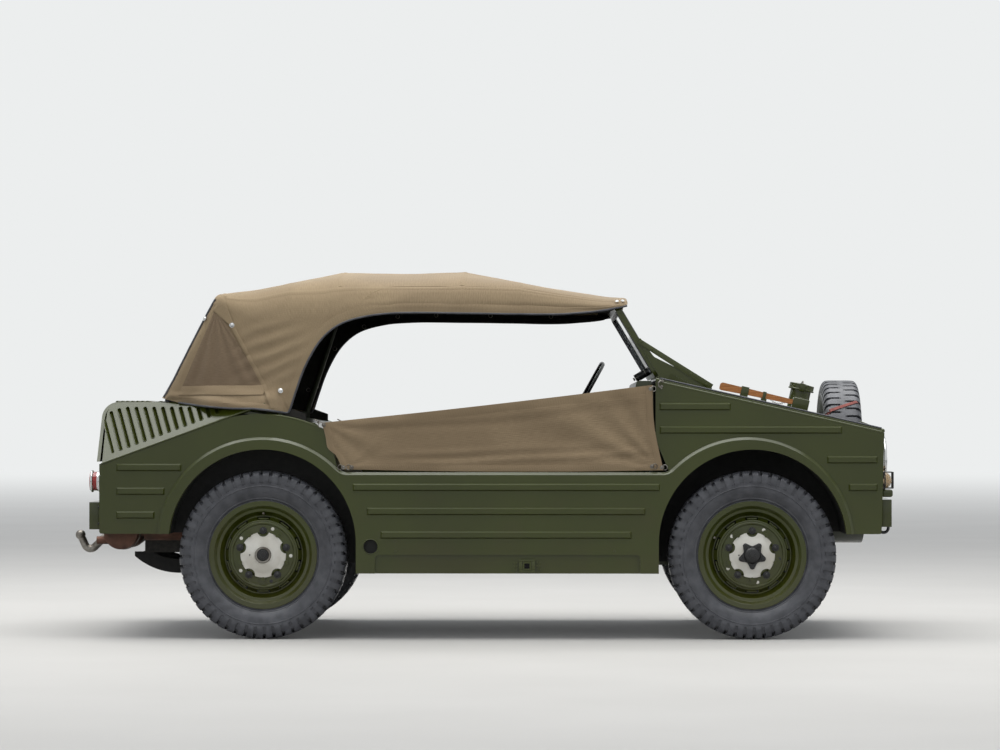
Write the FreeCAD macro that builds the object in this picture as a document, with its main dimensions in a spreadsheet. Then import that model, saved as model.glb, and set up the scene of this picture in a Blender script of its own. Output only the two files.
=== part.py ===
import FreeCAD, Part
import math
import os
import Sketcher

# Army 4x4 car, all sizes in millimetres.
# X forward, Y to the car's left, Z up; origin on the ground below the middle of the overall length.

Vec = FreeCAD.Vector
Rot = FreeCAD.Rotation

SIZES = {
    # wheels and axles
    "wheelbase": 2060, "rear_axle_x": -880, "half_track": 690,
    "tyre_radius": 354, "tyre_width": 164, "flange_radius": 228, "bead_radius": 203,
    "disc_ring": 143, "vent_circle": 154, "stud_circle": 102.5,
    # body shell
    "body_half": 780, "flare_proud": 20, "panel_wall": 30, "skin": 14, "sheet_wall": 6,
    "tail_x": -1568, "nose_ahead": 553, "nose_lean": 13, "end_low": 444,
    "sill_low": 278, "sill_top": 703, "arch_radius": 394, "arch_z": 405,
    "flare_radius": 446, "flare_chamfer": 11, "flare_join": 60,
    "rear_seam_z": 737, "crest_x": -849, "crest_z": 1002, "crest_round": 600,
    "door_rear_x": -600, "door_rear_z": 875, "door_rear_low": -560,
    "door_back": 407, "door_front_z": 1089, "door_low_back": 345, "door_bend_z": 839,
    "hood_front_z": 873, "hood_wall": 12, "hood_inset": 9,
    "rib_height": 34, "rib_proud": 8, "rib_draft": 7,
    "deck_top": 997, "lid_front_x": -1316, "lid_gap": 10, "lid_round": 50,
    "louvre_lean": 40.3, "louvre_pitch": 36.3, "louvre_slot": 15, "louvre_margin": 34,
    # floor and inner panels
    "floor_low": 300, "floor_wall": 16, "house_wall": 7, "front_house_in": 420, "rear_house_in": 585,
    "toe_board_back": 180, "tunnel_half": 85, "tunnel_high": 120,
    # windscreen
    "screen_base_z": 1107.5, "screen_lean": 30.7, "screen_half": 700,
    "screen_tall": 352, "screen_bar": 30, "screen_wall": 24, "glass_wall": 6,
    # soft top
    "top_wall": 8, "top_high": 1571, "top_rear_x": -1312, "top_front_back": 518, "bow_radius": 11,
    # spare wheel
    "spare_ahead": 420, "well_z": 758, "well_clear": 16, "well_half_length": 96, "slot_half": 345,
    # steering
    "steer_offset": 55, "steer_arm": 120, "wheel_ring": 200, "wheel_grip": 13,
    "column_slope": 29, "steer_back": 710, "steer_y": 350, "steer_z": 1008,
    # seats
    "seat_width": 480, "seat_y": 350, "seat_z": 545, "cushion_thick": 110,
    # lamps and bumpers
    "lamp_radius": 96, "lamp_y": 540, "lamp_z": 751, "bumper_stand": 37, "bumper_deep": 42,
    "bumper_tall": 115, "bumper_half": 700, "bumper_low": 472,
    "tail_lamp_radius": 40, "tail_lamp_y": 705, "tail_lamp_z": 664, "marker_z": 668, "marker_radius": 40,
    # tow hook
    "ball_radius": 22, "ball_x": -1748, "ball_z": 415, "hook_radius": 17,
    # power train
    "silencer_radius": 72, "silencer_x": -1508, "silencer_z": 441, "engine_rear_x": -1425,
}


class Dim:
    """A size together with the expression that binds a property to it."""

    def __init__(self, value, text):
        self.value = float(value)
        self.text = text

    def joined(self, other, sign, value):
        return Dim(value, "(" + self.text + " " + sign + " " + other.text + ")")

    def __add__(self, other):
        other = as_dim(other)
        return self.joined(other, "+", self.value + other.value)

    def __sub__(self, other):
        other = as_dim(other)
        return self.joined(other, "-", self.value - other.value)

    def __mul__(self, other):
        other = as_dim(other)
        return self.joined(other, "*", self.value * other.value)

    def __truediv__(self, other):
        other = as_dim(other)
        return self.joined(other, "/", self.value / other.value)

    def __neg__(self):
        return as_dim(0) - self

    def __radd__(self, other):
        return as_dim(other) + self

    def __rsub__(self, other):
        return as_dim(other) - self

    def __rmul__(self, other):
        return as_dim(other) * self

    def __float__(self):
        return self.value


def as_dim(size):
    if isinstance(size, Dim):
        return size
    return Dim(size, repr(round(float(size), 6)))


class Sizes:
    """Every cell of the sheet as an attribute."""

    def __init__(self, document):
        sheet = document.addObject("Spreadsheet::Sheet", "Sizes")
        for row, (name, value) in enumerate(SIZES.items(), start=1):
            cell = "A" + str(row)
            sheet.set(cell, str(value))
            sheet.setAlias(cell, name)
            setattr(self, name, Dim(value, "Sizes." + name))
        document.recompute()


doc = FreeCAD.newDocument("Car")
s = Sizes(doc)
front_axle_x = s.rear_axle_x + s.wheelbase
nose_x = front_axle_x + s.nose_ahead
bumper_front_x = nose_x + s.bumper_stand
spare_x = front_axle_x + s.spare_ahead
toe_board_x = front_axle_x - s.toe_board_back
steer_x = front_axle_x - s.steer_back
door_front_x = front_axle_x - s.door_back
door_front_low = front_axle_x - s.door_low_back
bulkhead_x = door_front_x - 9
screen_base_x = door_front_x + 12
s.top_front_x = front_axle_x - s.top_front_back
nodes = []


def fore(back):
    """A place that far behind the front axle."""
    return front_axle_x - back


# ---------------------------------------------------------------- helpers

def bind(thing, prop, size):
    if isinstance(size, Dim):
        thing.setExpression(prop, size.text)
    else:
        setattr(thing, prop, size)


def place(thing, x=0, y=0, z=0, rotation=None):
    turn = rotation if rotation else Rot()
    thing.Placement = FreeCAD.Placement(Vec(float(x), float(y), float(z)), turn)
    for axis, size in (("x", x), ("y", y), ("z", z)):
        if isinstance(size, Dim):
            thing.setExpression("Placement.Base." + axis, size.text)
    return thing


def stand(thing, placement):
    """Set a whole placement, in place of the one bound axis by axis."""
    for axis in "xyz":
        thing.setExpression("Placement.Base." + axis, None)
    thing.Placement = placement
    return thing


def box(name, x0, x1, y0, y1, z0, z1):
    solid = doc.addObject("Part::Box", name)
    for prop, low, high in (("Length", x0, x1), ("Width", y0, y1), ("Height", z0, z1)):
        bind(solid, prop, as_dim(high) - as_dim(low))
    return place(solid, as_dim(x0), as_dim(y0), as_dim(z0))


AXIS_TURNS = {"X": Rot(Vec(0, 1, 0), 90), "Y": Rot(Vec(1, 0, 0), -90), "Z": Rot()}


def cylinder(name, axis, x, y, z, radius, length):
    """A cylinder that starts at x, y, z and runs along +axis."""
    solid = doc.addObject("Part::Cylinder", name)
    bind(solid, "Radius", as_dim(radius))
    bind(solid, "Height", as_dim(length))
    return place(solid, as_dim(x), as_dim(y), as_dim(z), AXIS_TURNS[axis])


def sphere(name, x, y, z, radius):
    solid = doc.addObject("Part::Sphere", name)
    bind(solid, "Radius", as_dim(radius))
    return place(solid, as_dim(x), as_dim(y), as_dim(z))


def torus(name, axis, x, y, z, ring, section):
    solid = doc.addObject("Part::Torus", name)
    bind(solid, "Radius1", as_dim(ring))
    bind(solid, "Radius2", as_dim(section))
    return place(solid, as_dim(x), as_dim(y), as_dim(z), AXIS_TURNS[axis])


def fuse(name, solids):
    joined = doc.addObject("Part::MultiFuse", name)
    joined.Shapes = solids
    return joined


def group(name, solids):
    held = doc.addObject("Part::Compound", name)
    held.Links = solids
    return held


def cut(name, base, tools):
    result = doc.addObject("Part::Cut", name)
    result.Base = base
    result.Tool = tools[0] if len(tools) == 1 else group(name + "_tools", tools)
    return result


def common(name, first, second):
    result = doc.addObject("Part::Common", name)
    result.Base = first
    result.Tool = second
    return result


def mirrored(name, source):
    copy = doc.addObject("Part::Mirroring", name)
    copy.Source = source
    copy.Normal = Vec(0, 1, 0)
    return copy


def rounded(name, base, radius, picks, kind="Part::Fillet"):
    """Fillet or chamfer the edges of base that picks accepts."""
    doc.recompute()
    result = doc.addObject(kind, name)
    result.Base = base
    size = float(radius)
    result.Edges = [(number, size, size) for number, edge in enumerate(base.Shape.Edges, start=1) if picks(edge)]
    return result


def corner_ends(corners):
    """Tangent points, centre and radius of each corner of an outline."""
    points = [Vec(float(corner[0]), float(corner[1]), 0) for corner in corners]
    ends = []
    for number, point in enumerate(points):
        radius = float(corners[number][2]) if len(corners[number]) > 2 else 0
        if radius == 0:
            ends.append((point, point, None, 0))
            continue
        back = (points[number - 1] - point).normalize()
        ahead = (points[(number + 1) % len(points)] - point).normalize()
        half = back.getAngle(ahead) / 2
        reach = radius / math.tan(half)
        centre = point + (back + ahead).normalize() * (radius / math.sin(half))
        ends.append((point + back * reach, point + ahead * reach, centre, radius))
    return points, ends


def draw_outline(sketch, corners):
    """Draw a closed outline; a corner is (u, v) or (u, v, round), each tied to the sheet."""
    points, ends = corner_ends(corners)
    total = len(corners)
    lines = []
    for number in range(total):
        start = ends[number][1]
        stop = ends[(number + 1) % total][0]
        lines.append(sketch.addGeometry(Part.LineSegment(start, stop), False))
    for number, (start, stop, centre, radius) in enumerate(ends):
        arriving, leaving = lines[number - 1], lines[number]
        held = (leaving, 1)
        if centre is None:
            sketch.addConstraint(Sketcher.Constraint("Coincident", arriving, 2, leaving, 1))
        else:
            middle = centre + (points[number] - centre).normalize() * radius
            arc = sketch.addGeometry(Part.Arc(start, middle, stop), False)
            begins = (sketch.getPoint(arc, 1) - start).Length < (sketch.getPoint(arc, 1) - stop).Length
            first, last = (1, 2) if begins else (2, 1)
            sketch.addConstraint(Sketcher.Constraint("Tangent", arriving, 2, arc, first))
            sketch.addConstraint(Sketcher.Constraint("Tangent", arc, last, leaving, 1))
            tie(sketch, Sketcher.Constraint("Radius", arc, radius), corners[number][2])
            tip = sketch.addGeometry(Part.Point(points[number]), True)
            sketch.addConstraint(Sketcher.Constraint("PointOnObject", tip, 1, arriving))
            sketch.addConstraint(Sketcher.Constraint("PointOnObject", tip, 1, leaving))
            held = (tip, 1)
        for kind, size in (("DistanceX", corners[number][0]), ("DistanceY", corners[number][1])):
            tie(sketch, Sketcher.Constraint(kind, -1, 1, held[0], held[1], float(size)), size)


def tie(sketch, constraint, size):
    number = sketch.addConstraint(constraint)
    if isinstance(size, Dim):
        sketch.setExpression("Constraints[" + str(number) + "]", size.text)


def sketch_on(body, plane, offset):
    role = plane + "_Plane"
    face = [feature for feature in body.Origin.OriginFeatures if feature.Role == role][0]
    sketch = body.newObject("Sketcher::SketchObject", body.Name + "_outline")
    sketch.AttachmentSupport = [(face, "")]
    sketch.MapMode = "FlatFace"
    bind(sketch, "AttachmentOffset.Base.z", as_dim(offset))
    return sketch


def prism(name, plane, outline, start, depth):
    """An outline padded from start by depth: towards -Y on XZ, +X on YZ, +Z on XY."""
    body = doc.addObject("PartDesign::Body", name)
    sketch = sketch_on(body, plane, start)
    draw_outline(sketch, outline)
    pad = body.newObject("PartDesign::Pad", name + "_pad")
    pad.Profile = sketch
    bind(pad, "Length", as_dim(depth))
    body.Tip = pad
    return body


def across(name, outline, half):
    """A side outline carried through the whole width of 2 * half."""
    return prism(name, "XZ", outline, -as_dim(half), as_dim(half) * 2)


def turned(name, outline, angle=360):
    """An outline of (radius, y) corners turned about the Y axis."""
    body = doc.addObject("PartDesign::Body", name)
    sketch = sketch_on(body, "XY", 0)
    draw_outline(sketch, outline)
    spin = body.newObject("PartDesign::Revolution", name + "_turn")
    spin.Profile = sketch
    spin.ReferenceAxis = (sketch, ["V_Axis"])
    spin.Angle = angle
    body.Tip = spin
    return body


def bent_tube(name, route, radius, bend):
    """A round bar along straight runs joined by tangent arcs."""
    points = [Vec(*[float(value) for value in point]) for point in route]
    edges = []
    start = points[0]
    for number in range(1, len(points) - 1):
        point = points[number]
        back = (points[number - 1] - point).normalize()
        ahead = (points[number + 1] - point).normalize()
        half = back.getAngle(ahead) / 2
        reach = float(bend) / math.tan(half)
        centre = point + (back + ahead).normalize() * (float(bend) / math.sin(half))
        entry, leave = point + back * reach, point + ahead * reach
        middle = centre + (point - centre).normalize() * float(bend)
        edges += [Part.LineSegment(start, entry).toShape(), Part.Arc(entry, middle, leave).toShape()]
        start = leave
    edges.append(Part.LineSegment(start, points[-1]).toShape())
    path = Part.Wire(edges)
    ring = Part.Wire([Part.Circle(points[0], points[1] - points[0], float(radius)).toShape()])
    bar = doc.addObject("Part::Feature", name)
    bar.Shape = path.makePipeShell([ring], True, False)
    return bar


def node(name, thing):
    thing.Label = name
    nodes.append(thing)
    return thing


# ---------------------------------------------------------------- body sides

hood_slope = (s.door_front_z - s.hood_front_z) / (nose_x - door_front_x)


def hood_under(x):
    """Height of the hood's underside, which is the fender's top, at x."""
    return s.door_front_z - (as_dim(x) - door_front_x) * hood_slope


SIDE_OUTLINE = [
    (s.tail_x, s.end_low, 12), (s.tail_x, s.rear_seam_z), (s.crest_x, s.crest_z, s.crest_round),
    (s.door_rear_x, s.door_rear_z, 25), (s.door_rear_low, s.sill_top - 10),
    (door_front_low, s.sill_top - 10), (door_front_x, s.door_bend_z, 90),
    (door_front_x, s.door_front_z, 8), (nose_x, s.hood_front_z, 8),
    (nose_x - s.nose_lean, s.end_low, 12), (front_axle_x, s.end_low), (front_axle_x, s.sill_low),
    (s.rear_axle_x, s.sill_low), (s.rear_axle_x, s.end_low)]

# pressed ribs: name, rear end x, front end x, middle z, on the flare and sill band or not
RIBS = [
    ("rear_a", -1497, -1220, 723, False), ("rear_b", -1497, -1291, 623, False),
    ("rear_c", -1497, -1333, 523, False), ("sill_a", -500, fore(388), 640, True),
    ("sill_b", -441, fore(449), 539, True), ("sill_c", -383, fore(507), 440, True),
    ("front_a", fore(392), fore(90), 979, False), ("front_b", fore(391), fore(-376), 881, False),
    ("front_c", fore(-311), fore(-525), 756, False), ("front_d", fore(-401), fore(-525), 640, False)]


def arch(name, axle_x, radius, inner, outer):
    """The opening over a wheel: a half circle with straight sides to below the body."""
    round_top = as_dim(radius) - 0.5
    outline = [(axle_x - radius, 100), (axle_x - radius, s.arch_z + radius, round_top),
               (axle_x + radius, s.arch_z + radius, round_top), (axle_x + radius, 100)]
    return prism(name, "XZ", outline, inner, as_dim(outer) - as_dim(inner))


def rib(name, x0, x1, z, face):
    """A raised rib with slanted flanks; its foot is 2 mm inside the panel."""
    solid = doc.addObject("Part::Wedge", "rib_" + name)
    top = s.rib_draft
    bind(solid, "Ymin", as_dim(0))
    bind(solid, "Ymax", s.rib_proud + 2)
    bind(solid, "Xmin", as_dim(x0) + top)
    bind(solid, "Xmax", as_dim(x1) - top)
    bind(solid, "Zmin", as_dim(z) - s.rib_height / 2 + top)
    bind(solid, "Zmax", as_dim(z) + s.rib_height / 2 - top)
    bind(solid, "X2min", as_dim(x0))
    bind(solid, "X2max", as_dim(x1))
    bind(solid, "Z2min", as_dim(z) - s.rib_height / 2)
    bind(solid, "Z2max", as_dim(z) + s.rib_height / 2)
    return place(solid, 0, -as_dim(face) - s.rib_proud, 0)


def flare_band():
    """Both flares and the sill, proud of the upper panel, with a bevelled ridge."""
    face = s.body_half + s.flare_proud
    inner = s.body_half - s.panel_wall
    flare_front_x = front_axle_x - 20
    discs = [cylinder("flare_disc", "Y", x, -face, s.arch_z, s.flare_radius, face - inner)
             for x in (s.rear_axle_x, flare_front_x)]
    plate = box("sill_plate", s.rear_axle_x, front_axle_x, -face, -inner, s.sill_low, s.sill_top)
    joined = fuse("band_blank", discs + [plate])

    def is_join(edge):
        middle = edge.BoundBox.Center
        along_y = edge.BoundBox.YLength > 10 and edge.BoundBox.XLength < 1 and edge.BoundBox.ZLength < 1
        on_top = abs(middle.z - float(s.sill_top)) < 1
        return along_y and on_top and float(s.rear_axle_x) + 50 < middle.x < float(flare_front_x) - 50

    eased = rounded("band_eased", joined, s.flare_join, is_join)
    below = [box("below_" + end, x0, x1, -face - 1, -inner + 1, -200, z)
             for end, x0, x1, z in (("tail", s.tail_x, s.rear_axle_x, s.end_low),
                                    ("sill", s.rear_axle_x, front_axle_x, s.sill_low),
                                    ("nose", front_axle_x, nose_x, s.end_low))]
    trimmed = cut("band_trimmed", eased, below)

    def is_ridge(edge):
        box_of_edge = edge.BoundBox
        flat = abs(box_of_edge.YMin + float(face)) < 0.1 and abs(box_of_edge.YMax + float(face)) < 0.1
        return flat and box_of_edge.ZMax > float(s.end_low) + 5

    return rounded("band_ridged", trimmed, s.flare_chamfer, is_ridge, "Part::Chamfer")


def side_panel():
    inner = s.body_half - s.panel_wall
    face = s.body_half + s.flare_proud
    upper = prism("upper_side", "XZ", SIDE_OUTLINE, inner, s.panel_wall)
    ribs = [rib(name, x0, x1, z, face if on_band else s.body_half) for name, x0, x1, z, on_band in RIBS]
    skin = fuse("side_blank", [upper, flare_band()] + ribs)
    arches = [arch("arch_cut", x, s.arch_radius, inner - 10, face + 20) for x in (s.rear_axle_x, front_axle_x)]
    rocker = prism("rocker_recess", "XZ",
                   [(-406, 200), (-406, 356, 18), (fore(472), 356, 18), (fore(472), 200)], face - 12, 40)
    access = cylinder("access_hole", "Y", -424, -face - 10, 391, 30, 70)
    open_skin = cut("side_open", skin, arches + [rocker, access])
    socket = box("jack_block", 215, 251, -face - 4, -face + 20, 292, 328)
    hollow = box("jack_hollow", 222, 244, -face - 5, -inner - 12, 299, 321)
    return cut("side_panel_right", fuse("side_jack", [open_skin, socket]), [hollow])


right_side = node("side_panel_right", side_panel())
left_side = node("side_panel_left", mirrored("side_panel_left", right_side))

# ---------------------------------------------------------------- rear body

seam_slope = (float(s.crest_z) - float(s.rear_seam_z)) / (float(s.crest_x) - float(s.tail_x) - 6)
seam_angle = math.atan(seam_slope)
lean = math.radians(float(s.louvre_lean))
along = Vec(math.cos(seam_angle), 0, math.sin(seam_angle))
upward = Vec(-math.sin(seam_angle) * math.cos(lean), math.sin(lean), math.cos(seam_angle) * math.cos(lean))
louvre_frame = FreeCAD.Placement(
    Vec(float(s.tail_x) + 6, -float(s.body_half), float(s.rear_seam_z)),
    Rot(along, upward, along.cross(upward), "XYZ"))
rise_along, rise_up = along.z, upward.z
deck_rise = float(s.deck_top) - float(s.rear_seam_z)


def deck_line(u):
    """How far up the louvre panel the deck's edge lies, at u along the seam."""
    return (deck_rise - rise_along * u) / rise_up


def louvre_slot(number):
    """One slot across the panel, from the seam's margin to the deck's margin."""
    middle = 62 + number * float(s.louvre_pitch)
    half = float(s.louvre_slot) / 2
    low = float(s.louvre_margin)
    high = min(deck_line(middle) - low * 0.8, 262)
    outline = [(middle - half, low, half - 0.5), (middle - half, high, half - 0.5),
               (middle + half, high, half - 0.5), (middle + half, low, half - 0.5)]
    return prism("slot_" + str(number), "XY", outline, -s.skin - 5, s.skin + 10)


def louvre_panel():
    seam_length = deck_rise / rise_along
    rear_top = (deck_rise - rise_along * 6) / (rise_up + rise_along * 0.2836)
    return prism("louvre_plate", "XY",
                 [(0, 0), (seam_length, 0), (6 + 0.2836 * rear_top, rear_top, 55), (6, 0)], -s.skin, s.skin)


def keep_out(name, gap):
    """The space taken by the louvre panel and all that lies outside it."""
    block = box(name, 0, 3000, -1000, 1500, 0, 900)
    return stand(block, louvre_frame.multiply(FreeCAD.Placement(Vec(-1200, -1000, -float(s.skin) - gap), Rot())))


plate = louvre_panel()
slots = [louvre_slot(number) for number in range(14)]
slotted = cut("louvre_slotted", plate, slots)
slotted.Placement = louvre_frame
side_blank = prism("side_under_louvre", "XZ", SIDE_OUTLINE, s.body_half - s.panel_wall, s.panel_wall + 5)
louvre_right = node("louvre_panel_right", cut("louvre_panel_right", slotted, [side_blank]))
louvre_left = node("louvre_panel_left", mirrored("louvre_panel_left", louvre_right))

deck_keep = [keep_out("deck_keep", 0.2)]
deck_keep.append(mirrored("deck_keep_left", deck_keep[0]))
deck_outline = [(s.lid_front_x, s.deck_top - s.skin), (s.lid_front_x, s.deck_top), (-1150, s.deck_top, 300),
                (-640, 905, 30), (-640, 780), (-640 - s.skin, 780), (-640 - s.skin, 897, 20),
                (-1150, s.deck_top - s.skin, 300)]
deck_plate = cut("deck_plate", across("deck_blank", deck_outline, s.body_half - s.panel_wall), deck_keep)
lid_pins = [cylinder("lid_pin", "Y", s.lid_front_x - s.lid_gap / 2 + 0.2, y, s.deck_top - s.skin / 2,
                     s.lid_gap / 2 - 0.1, 70) for y in (-380, 310)]
rear_deck = node("rear_deck", fuse("rear_deck", [deck_plate] + lid_pins))

lid_keep = [keep_out("lid_keep", float(s.lid_gap))]
lid_keep.append(mirrored("lid_keep_left", lid_keep[0]))
lid_outline = [(s.lid_front_x - s.lid_gap, s.deck_top - s.skin), (s.lid_front_x - s.lid_gap, s.deck_top + 2),
               (s.tail_x - 12, s.deck_top + 2, s.lid_round + s.skin), (s.tail_x - 16, s.rear_seam_z + s.lid_gap),
               (s.tail_x - 2, s.rear_seam_z + s.lid_gap), (s.tail_x + 2, s.deck_top - s.skin + 2, s.lid_round)]
lid_blank = across("lid_blank", lid_outline, s.body_half)
lid_ribs = [box("lid_rib", s.tail_x - 22, s.tail_x - 10, -380, 380, z, z + 24) for z in (800, 850, 900)]
engine_lid = node("engine_lid", cut("engine_lid", fuse("lid_joined", [lid_blank] + lid_ribs), lid_keep))

tail_inner = s.body_half - s.panel_wall
tail_outline = [(s.tail_x, s.end_low), (s.tail_x, s.rear_seam_z), (s.tail_x + s.skin, s.rear_seam_z),
                (s.tail_x + s.skin, s.end_low)]
tail_plate = across("tail_plate", tail_outline, tail_inner)
tail_ribs = [box("tail_rib", s.tail_x - s.rib_proud, s.tail_x + 4, -y, y, z, z + s.rib_height)
             for y, z in ((560, 690), (560, 500))]
silencer_notch = box("silencer_notch", s.tail_x - 30, s.tail_x + 30, -545, -58, s.end_low - 20, 560)
tail_panel = node("tail_panel", cut("tail_panel", fuse("tail_joined", [tail_plate] + tail_ribs), [silencer_notch]))

# ---------------------------------------------------------------- front body

nose_outline = [(nose_x, s.hood_front_z), (nose_x - s.nose_lean, s.end_low),
                (nose_x - s.nose_lean - s.skin, s.end_low), (nose_x - s.skin, hood_under(nose_x - s.skin))]
lamp_holes = [cylinder("lamp_hole", "X", nose_x - 60, y, s.lamp_z, s.lamp_radius, 100)
              for y in (-s.lamp_y, s.lamp_y)]
nose_ribs = [box("nose_rib", nose_x - s.nose_lean - 5, nose_x - s.nose_lean + 12, -y, y, z, z + s.rib_height)
             for y, z in ((380, 740), (560, 608))]
nose_panel = node("nose_panel", cut("nose_panel", fuse("nose_joined", [
    across("nose_plate", nose_outline, tail_inner)] + nose_ribs), lamp_holes))

hood_outline = [(door_front_x, s.door_front_z), (door_front_x, s.door_front_z + s.hood_wall, 6),
                (nose_x + 3, s.hood_front_z + s.hood_wall, 9), (nose_x + 3, hood_under(nose_x + 3))]
hood_plate = across("hood_plate", hood_outline, s.body_half - s.hood_inset)


def is_hood_edge(edge):
    extent = edge.BoundBox
    return extent.YLength < 1 and extent.XLength > 500 and extent.ZMax > float(s.door_front_z) + 3


hood_round = rounded("hood_round", hood_plate, 8, is_hood_edge)
slot = prism("hood_slot", "XY", [
    (spare_x - s.well_half_length + 6, -s.slot_half, 25), (spare_x - s.well_half_length + 6, s.slot_half, 25),
    (spare_x + s.well_half_length - 4, s.slot_half, 25), (spare_x + s.well_half_length - 4, -s.slot_half, 25)],
    700, 400)
front_hood = node("front_hood", cut("front_hood", hood_round, [slot]))

well_inner = s.tyre_radius + s.well_clear


def nose_face(z):
    """The nose panel's outer face at height z."""
    return nose_x - s.nose_lean * ((s.hood_front_z - as_dim(z)) / (s.hood_front_z - s.end_low))


def trough(name, half_length, radius):
    """A round-bottomed trough across the car, reaching past the hood."""
    barrel = cylinder(name + "_barrel", "X", spare_x - half_length, 0, s.well_z, radius, as_dim(half_length) * 2)
    upper = box(name + "_upper", spare_x - half_length, spare_x + half_length, -radius, radius,
                s.well_z, s.well_z + 400)
    return fuse(name, [barrel, upper])


above_hood = across("above_hood", [
    (spare_x - 300, hood_under(spare_x - 300)), (spare_x - 300, 1500), (spare_x + 300, 1500),
    (spare_x + 300, hood_under(spare_x + 300))], 700)
spare_well = node("spare_well", cut("spare_well", trough("well_outer", s.well_half_length, well_inner + s.sheet_wall), [
    trough("well_inner", s.well_half_length - s.sheet_wall, well_inner), above_hood]))

# ---------------------------------------------------------------- inner panels

floor_top = s.floor_low + s.floor_wall
rear_wall_x = s.rear_axle_x + s.arch_radius + s.house_wall + 10


def wheel_house(name, axle_x, inner_y, x0, x1, outward):
    """An arched inner housing with its inner wall, on the right side; outward is +1 ahead, -1 behind."""
    outer = [(axle_x - s.arch_radius - s.house_wall, floor_top),
             (axle_x - s.arch_radius - s.house_wall, s.arch_z + s.arch_radius + s.house_wall, s.arch_radius + 6),
             (axle_x + s.arch_radius + s.house_wall, s.arch_z + s.arch_radius + s.house_wall, s.arch_radius + 6),
             (axle_x + s.arch_radius + s.house_wall, floor_top)]
    shell = prism(name + "_shell", "XZ", outer, inner_y, s.body_half - s.panel_wall - inner_y)
    space = arch(name + "_space", axle_x, s.arch_radius, inner_y + s.house_wall, s.body_half)
    notch = box(name + "_notch", as_dim(axle_x) + x0, as_dim(axle_x) + x1, -inner_y - 20, -inner_y + 20, 200, 520)
    ends = sorted((float(axle_x), float(axle_x) + outward * 500))
    below = box(name + "_below", ends[0], ends[1], -s.body_half, -inner_y + 5, 100, s.end_low)
    return cut(name, shell, [space, notch, below])


def pair(name, right):
    return node(name, group(name, [right, mirrored(name + "_left", right)]))


front_houses = pair("front_wheel_houses", wheel_house("front_house", front_axle_x, s.front_house_in, -150, 240, 1))
rear_houses = pair("rear_wheel_houses", wheel_house("rear_house", s.rear_axle_x, s.rear_house_in, -75, 75, -1))

floor_half = s.body_half - s.panel_wall
floor_plates = [
    box("floor_plate", rear_wall_x, bulkhead_x - 8, -floor_half, floor_half, s.floor_low, floor_top),
    box("foot_plate", bulkhead_x - 8, toe_board_x, -s.front_house_in, s.front_house_in, s.floor_low, floor_top),
    box("tunnel", rear_wall_x, toe_board_x - 8, -s.tunnel_half, s.tunnel_half, s.floor_low, floor_top + s.tunnel_high)]
rockers = [box("rocker", rear_wall_x, bulkhead_x - 8, y0, y1, s.floor_low, floor_top + 100)
           for y0, y1 in ((-floor_half, -floor_half + 60), (floor_half - 60, floor_half))]
tunnel_space = box("tunnel_space", rear_wall_x - 30, toe_board_x + 30, 12 - s.tunnel_half, s.tunnel_half - 12, 100,
                   floor_top + s.tunnel_high - 12)
floor_pan = node("floor_pan", cut("floor_pan", fuse("floor_blank", floor_plates + rockers), [tunnel_space]))

wing_walls = [box("wing_wall", bulkhead_x - 8, bulkhead_x, y0, y1, floor_top, s.door_front_z - 20)
              for y0, y1 in ((-floor_half, -s.front_house_in + 8), (s.front_house_in - 8, floor_half))]
leg_walls = [box("leg_wall", bulkhead_x - 8, toe_board_x, y0, y1, floor_top, 1020)
             for y0, y1 in ((-s.front_house_in, -s.front_house_in + 8), (s.front_house_in - 8, s.front_house_in))]
toe_board = box("toe_board", toe_board_x - 8, toe_board_x, -s.front_house_in, s.front_house_in, floor_top, 1020)
dash_outline = [(bulkhead_x - 8, s.door_front_z - 1), (bulkhead_x - 70, s.door_front_z - 1, 14),
                (bulkhead_x - 96, 930, 22), (bulkhead_x - 8, 905)]
dash = across("dash", dash_outline, floor_half)
dash_shelf = box("dash_shelf", bulkhead_x - 8, toe_board_x, -s.front_house_in, s.front_house_in, 1012, 1020)
bulkhead = node("bulkhead", cut("bulkhead", fuse("bulkhead_joined", wing_walls + leg_walls + [toe_board, dash, dash_shelf]), [
    tunnel_space]))

rear_wall_outline = [(rear_wall_x, floor_top), (rear_wall_x, 472, 20), (-590, 486, 20), (-640, 780),
                     (-640 - s.sheet_wall, 780), (-598, 478, 20), (rear_wall_x - 8, 464, 14),
                     (rear_wall_x - 8, floor_top)]
rear_bulkhead = node("rear_bulkhead", cut("rear_bulkhead", across("rear_wall", rear_wall_outline, s.rear_house_in), [
    tunnel_space]))

# ---------------------------------------------------------------- windscreen

screen_lean = math.radians(float(s.screen_lean))
screen_up = Vec(-math.sin(screen_lean), 0, math.cos(screen_lean))
screen_frame = FreeCAD.Placement(
    Vec(float(screen_base_x), 0, float(s.screen_base_z)),
    Rot(Vec(0, 1, 0), screen_up, Vec(0, 1, 0).cross(screen_up), "XYZ"))


def on_screen(thing):
    """Stand a piece drawn flat (lateral, up, out) on the windscreen's plane."""
    thing.Placement = screen_frame
    return thing


def pane(name, half, low, high, start, depth, corner):
    return prism(name, "XY", [(-half, low, corner), (-half, high, corner), (half, high, corner), (half, low, corner)],
                 start, depth)


half_wall = s.screen_wall / 2
bar = s.screen_bar
frame_blank = pane("frame_blank", s.screen_half, 0, s.screen_tall, -half_wall, s.screen_wall, 34)
frame_hole = pane("frame_hole", s.screen_half - bar, bar, s.screen_tall - bar, -half_wall - 5, s.screen_wall + 10, 22)
windscreen_frame = node("windscreen_frame", on_screen(cut("windscreen_frame", frame_blank, [frame_hole])))
glass = pane("glass_pane", s.screen_half - bar, bar, s.screen_tall - bar, -s.glass_wall / 2, s.glass_wall, 22)
windscreen_glass = node("windscreen_glass", on_screen(group("windscreen_glass", [glass])))

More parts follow.
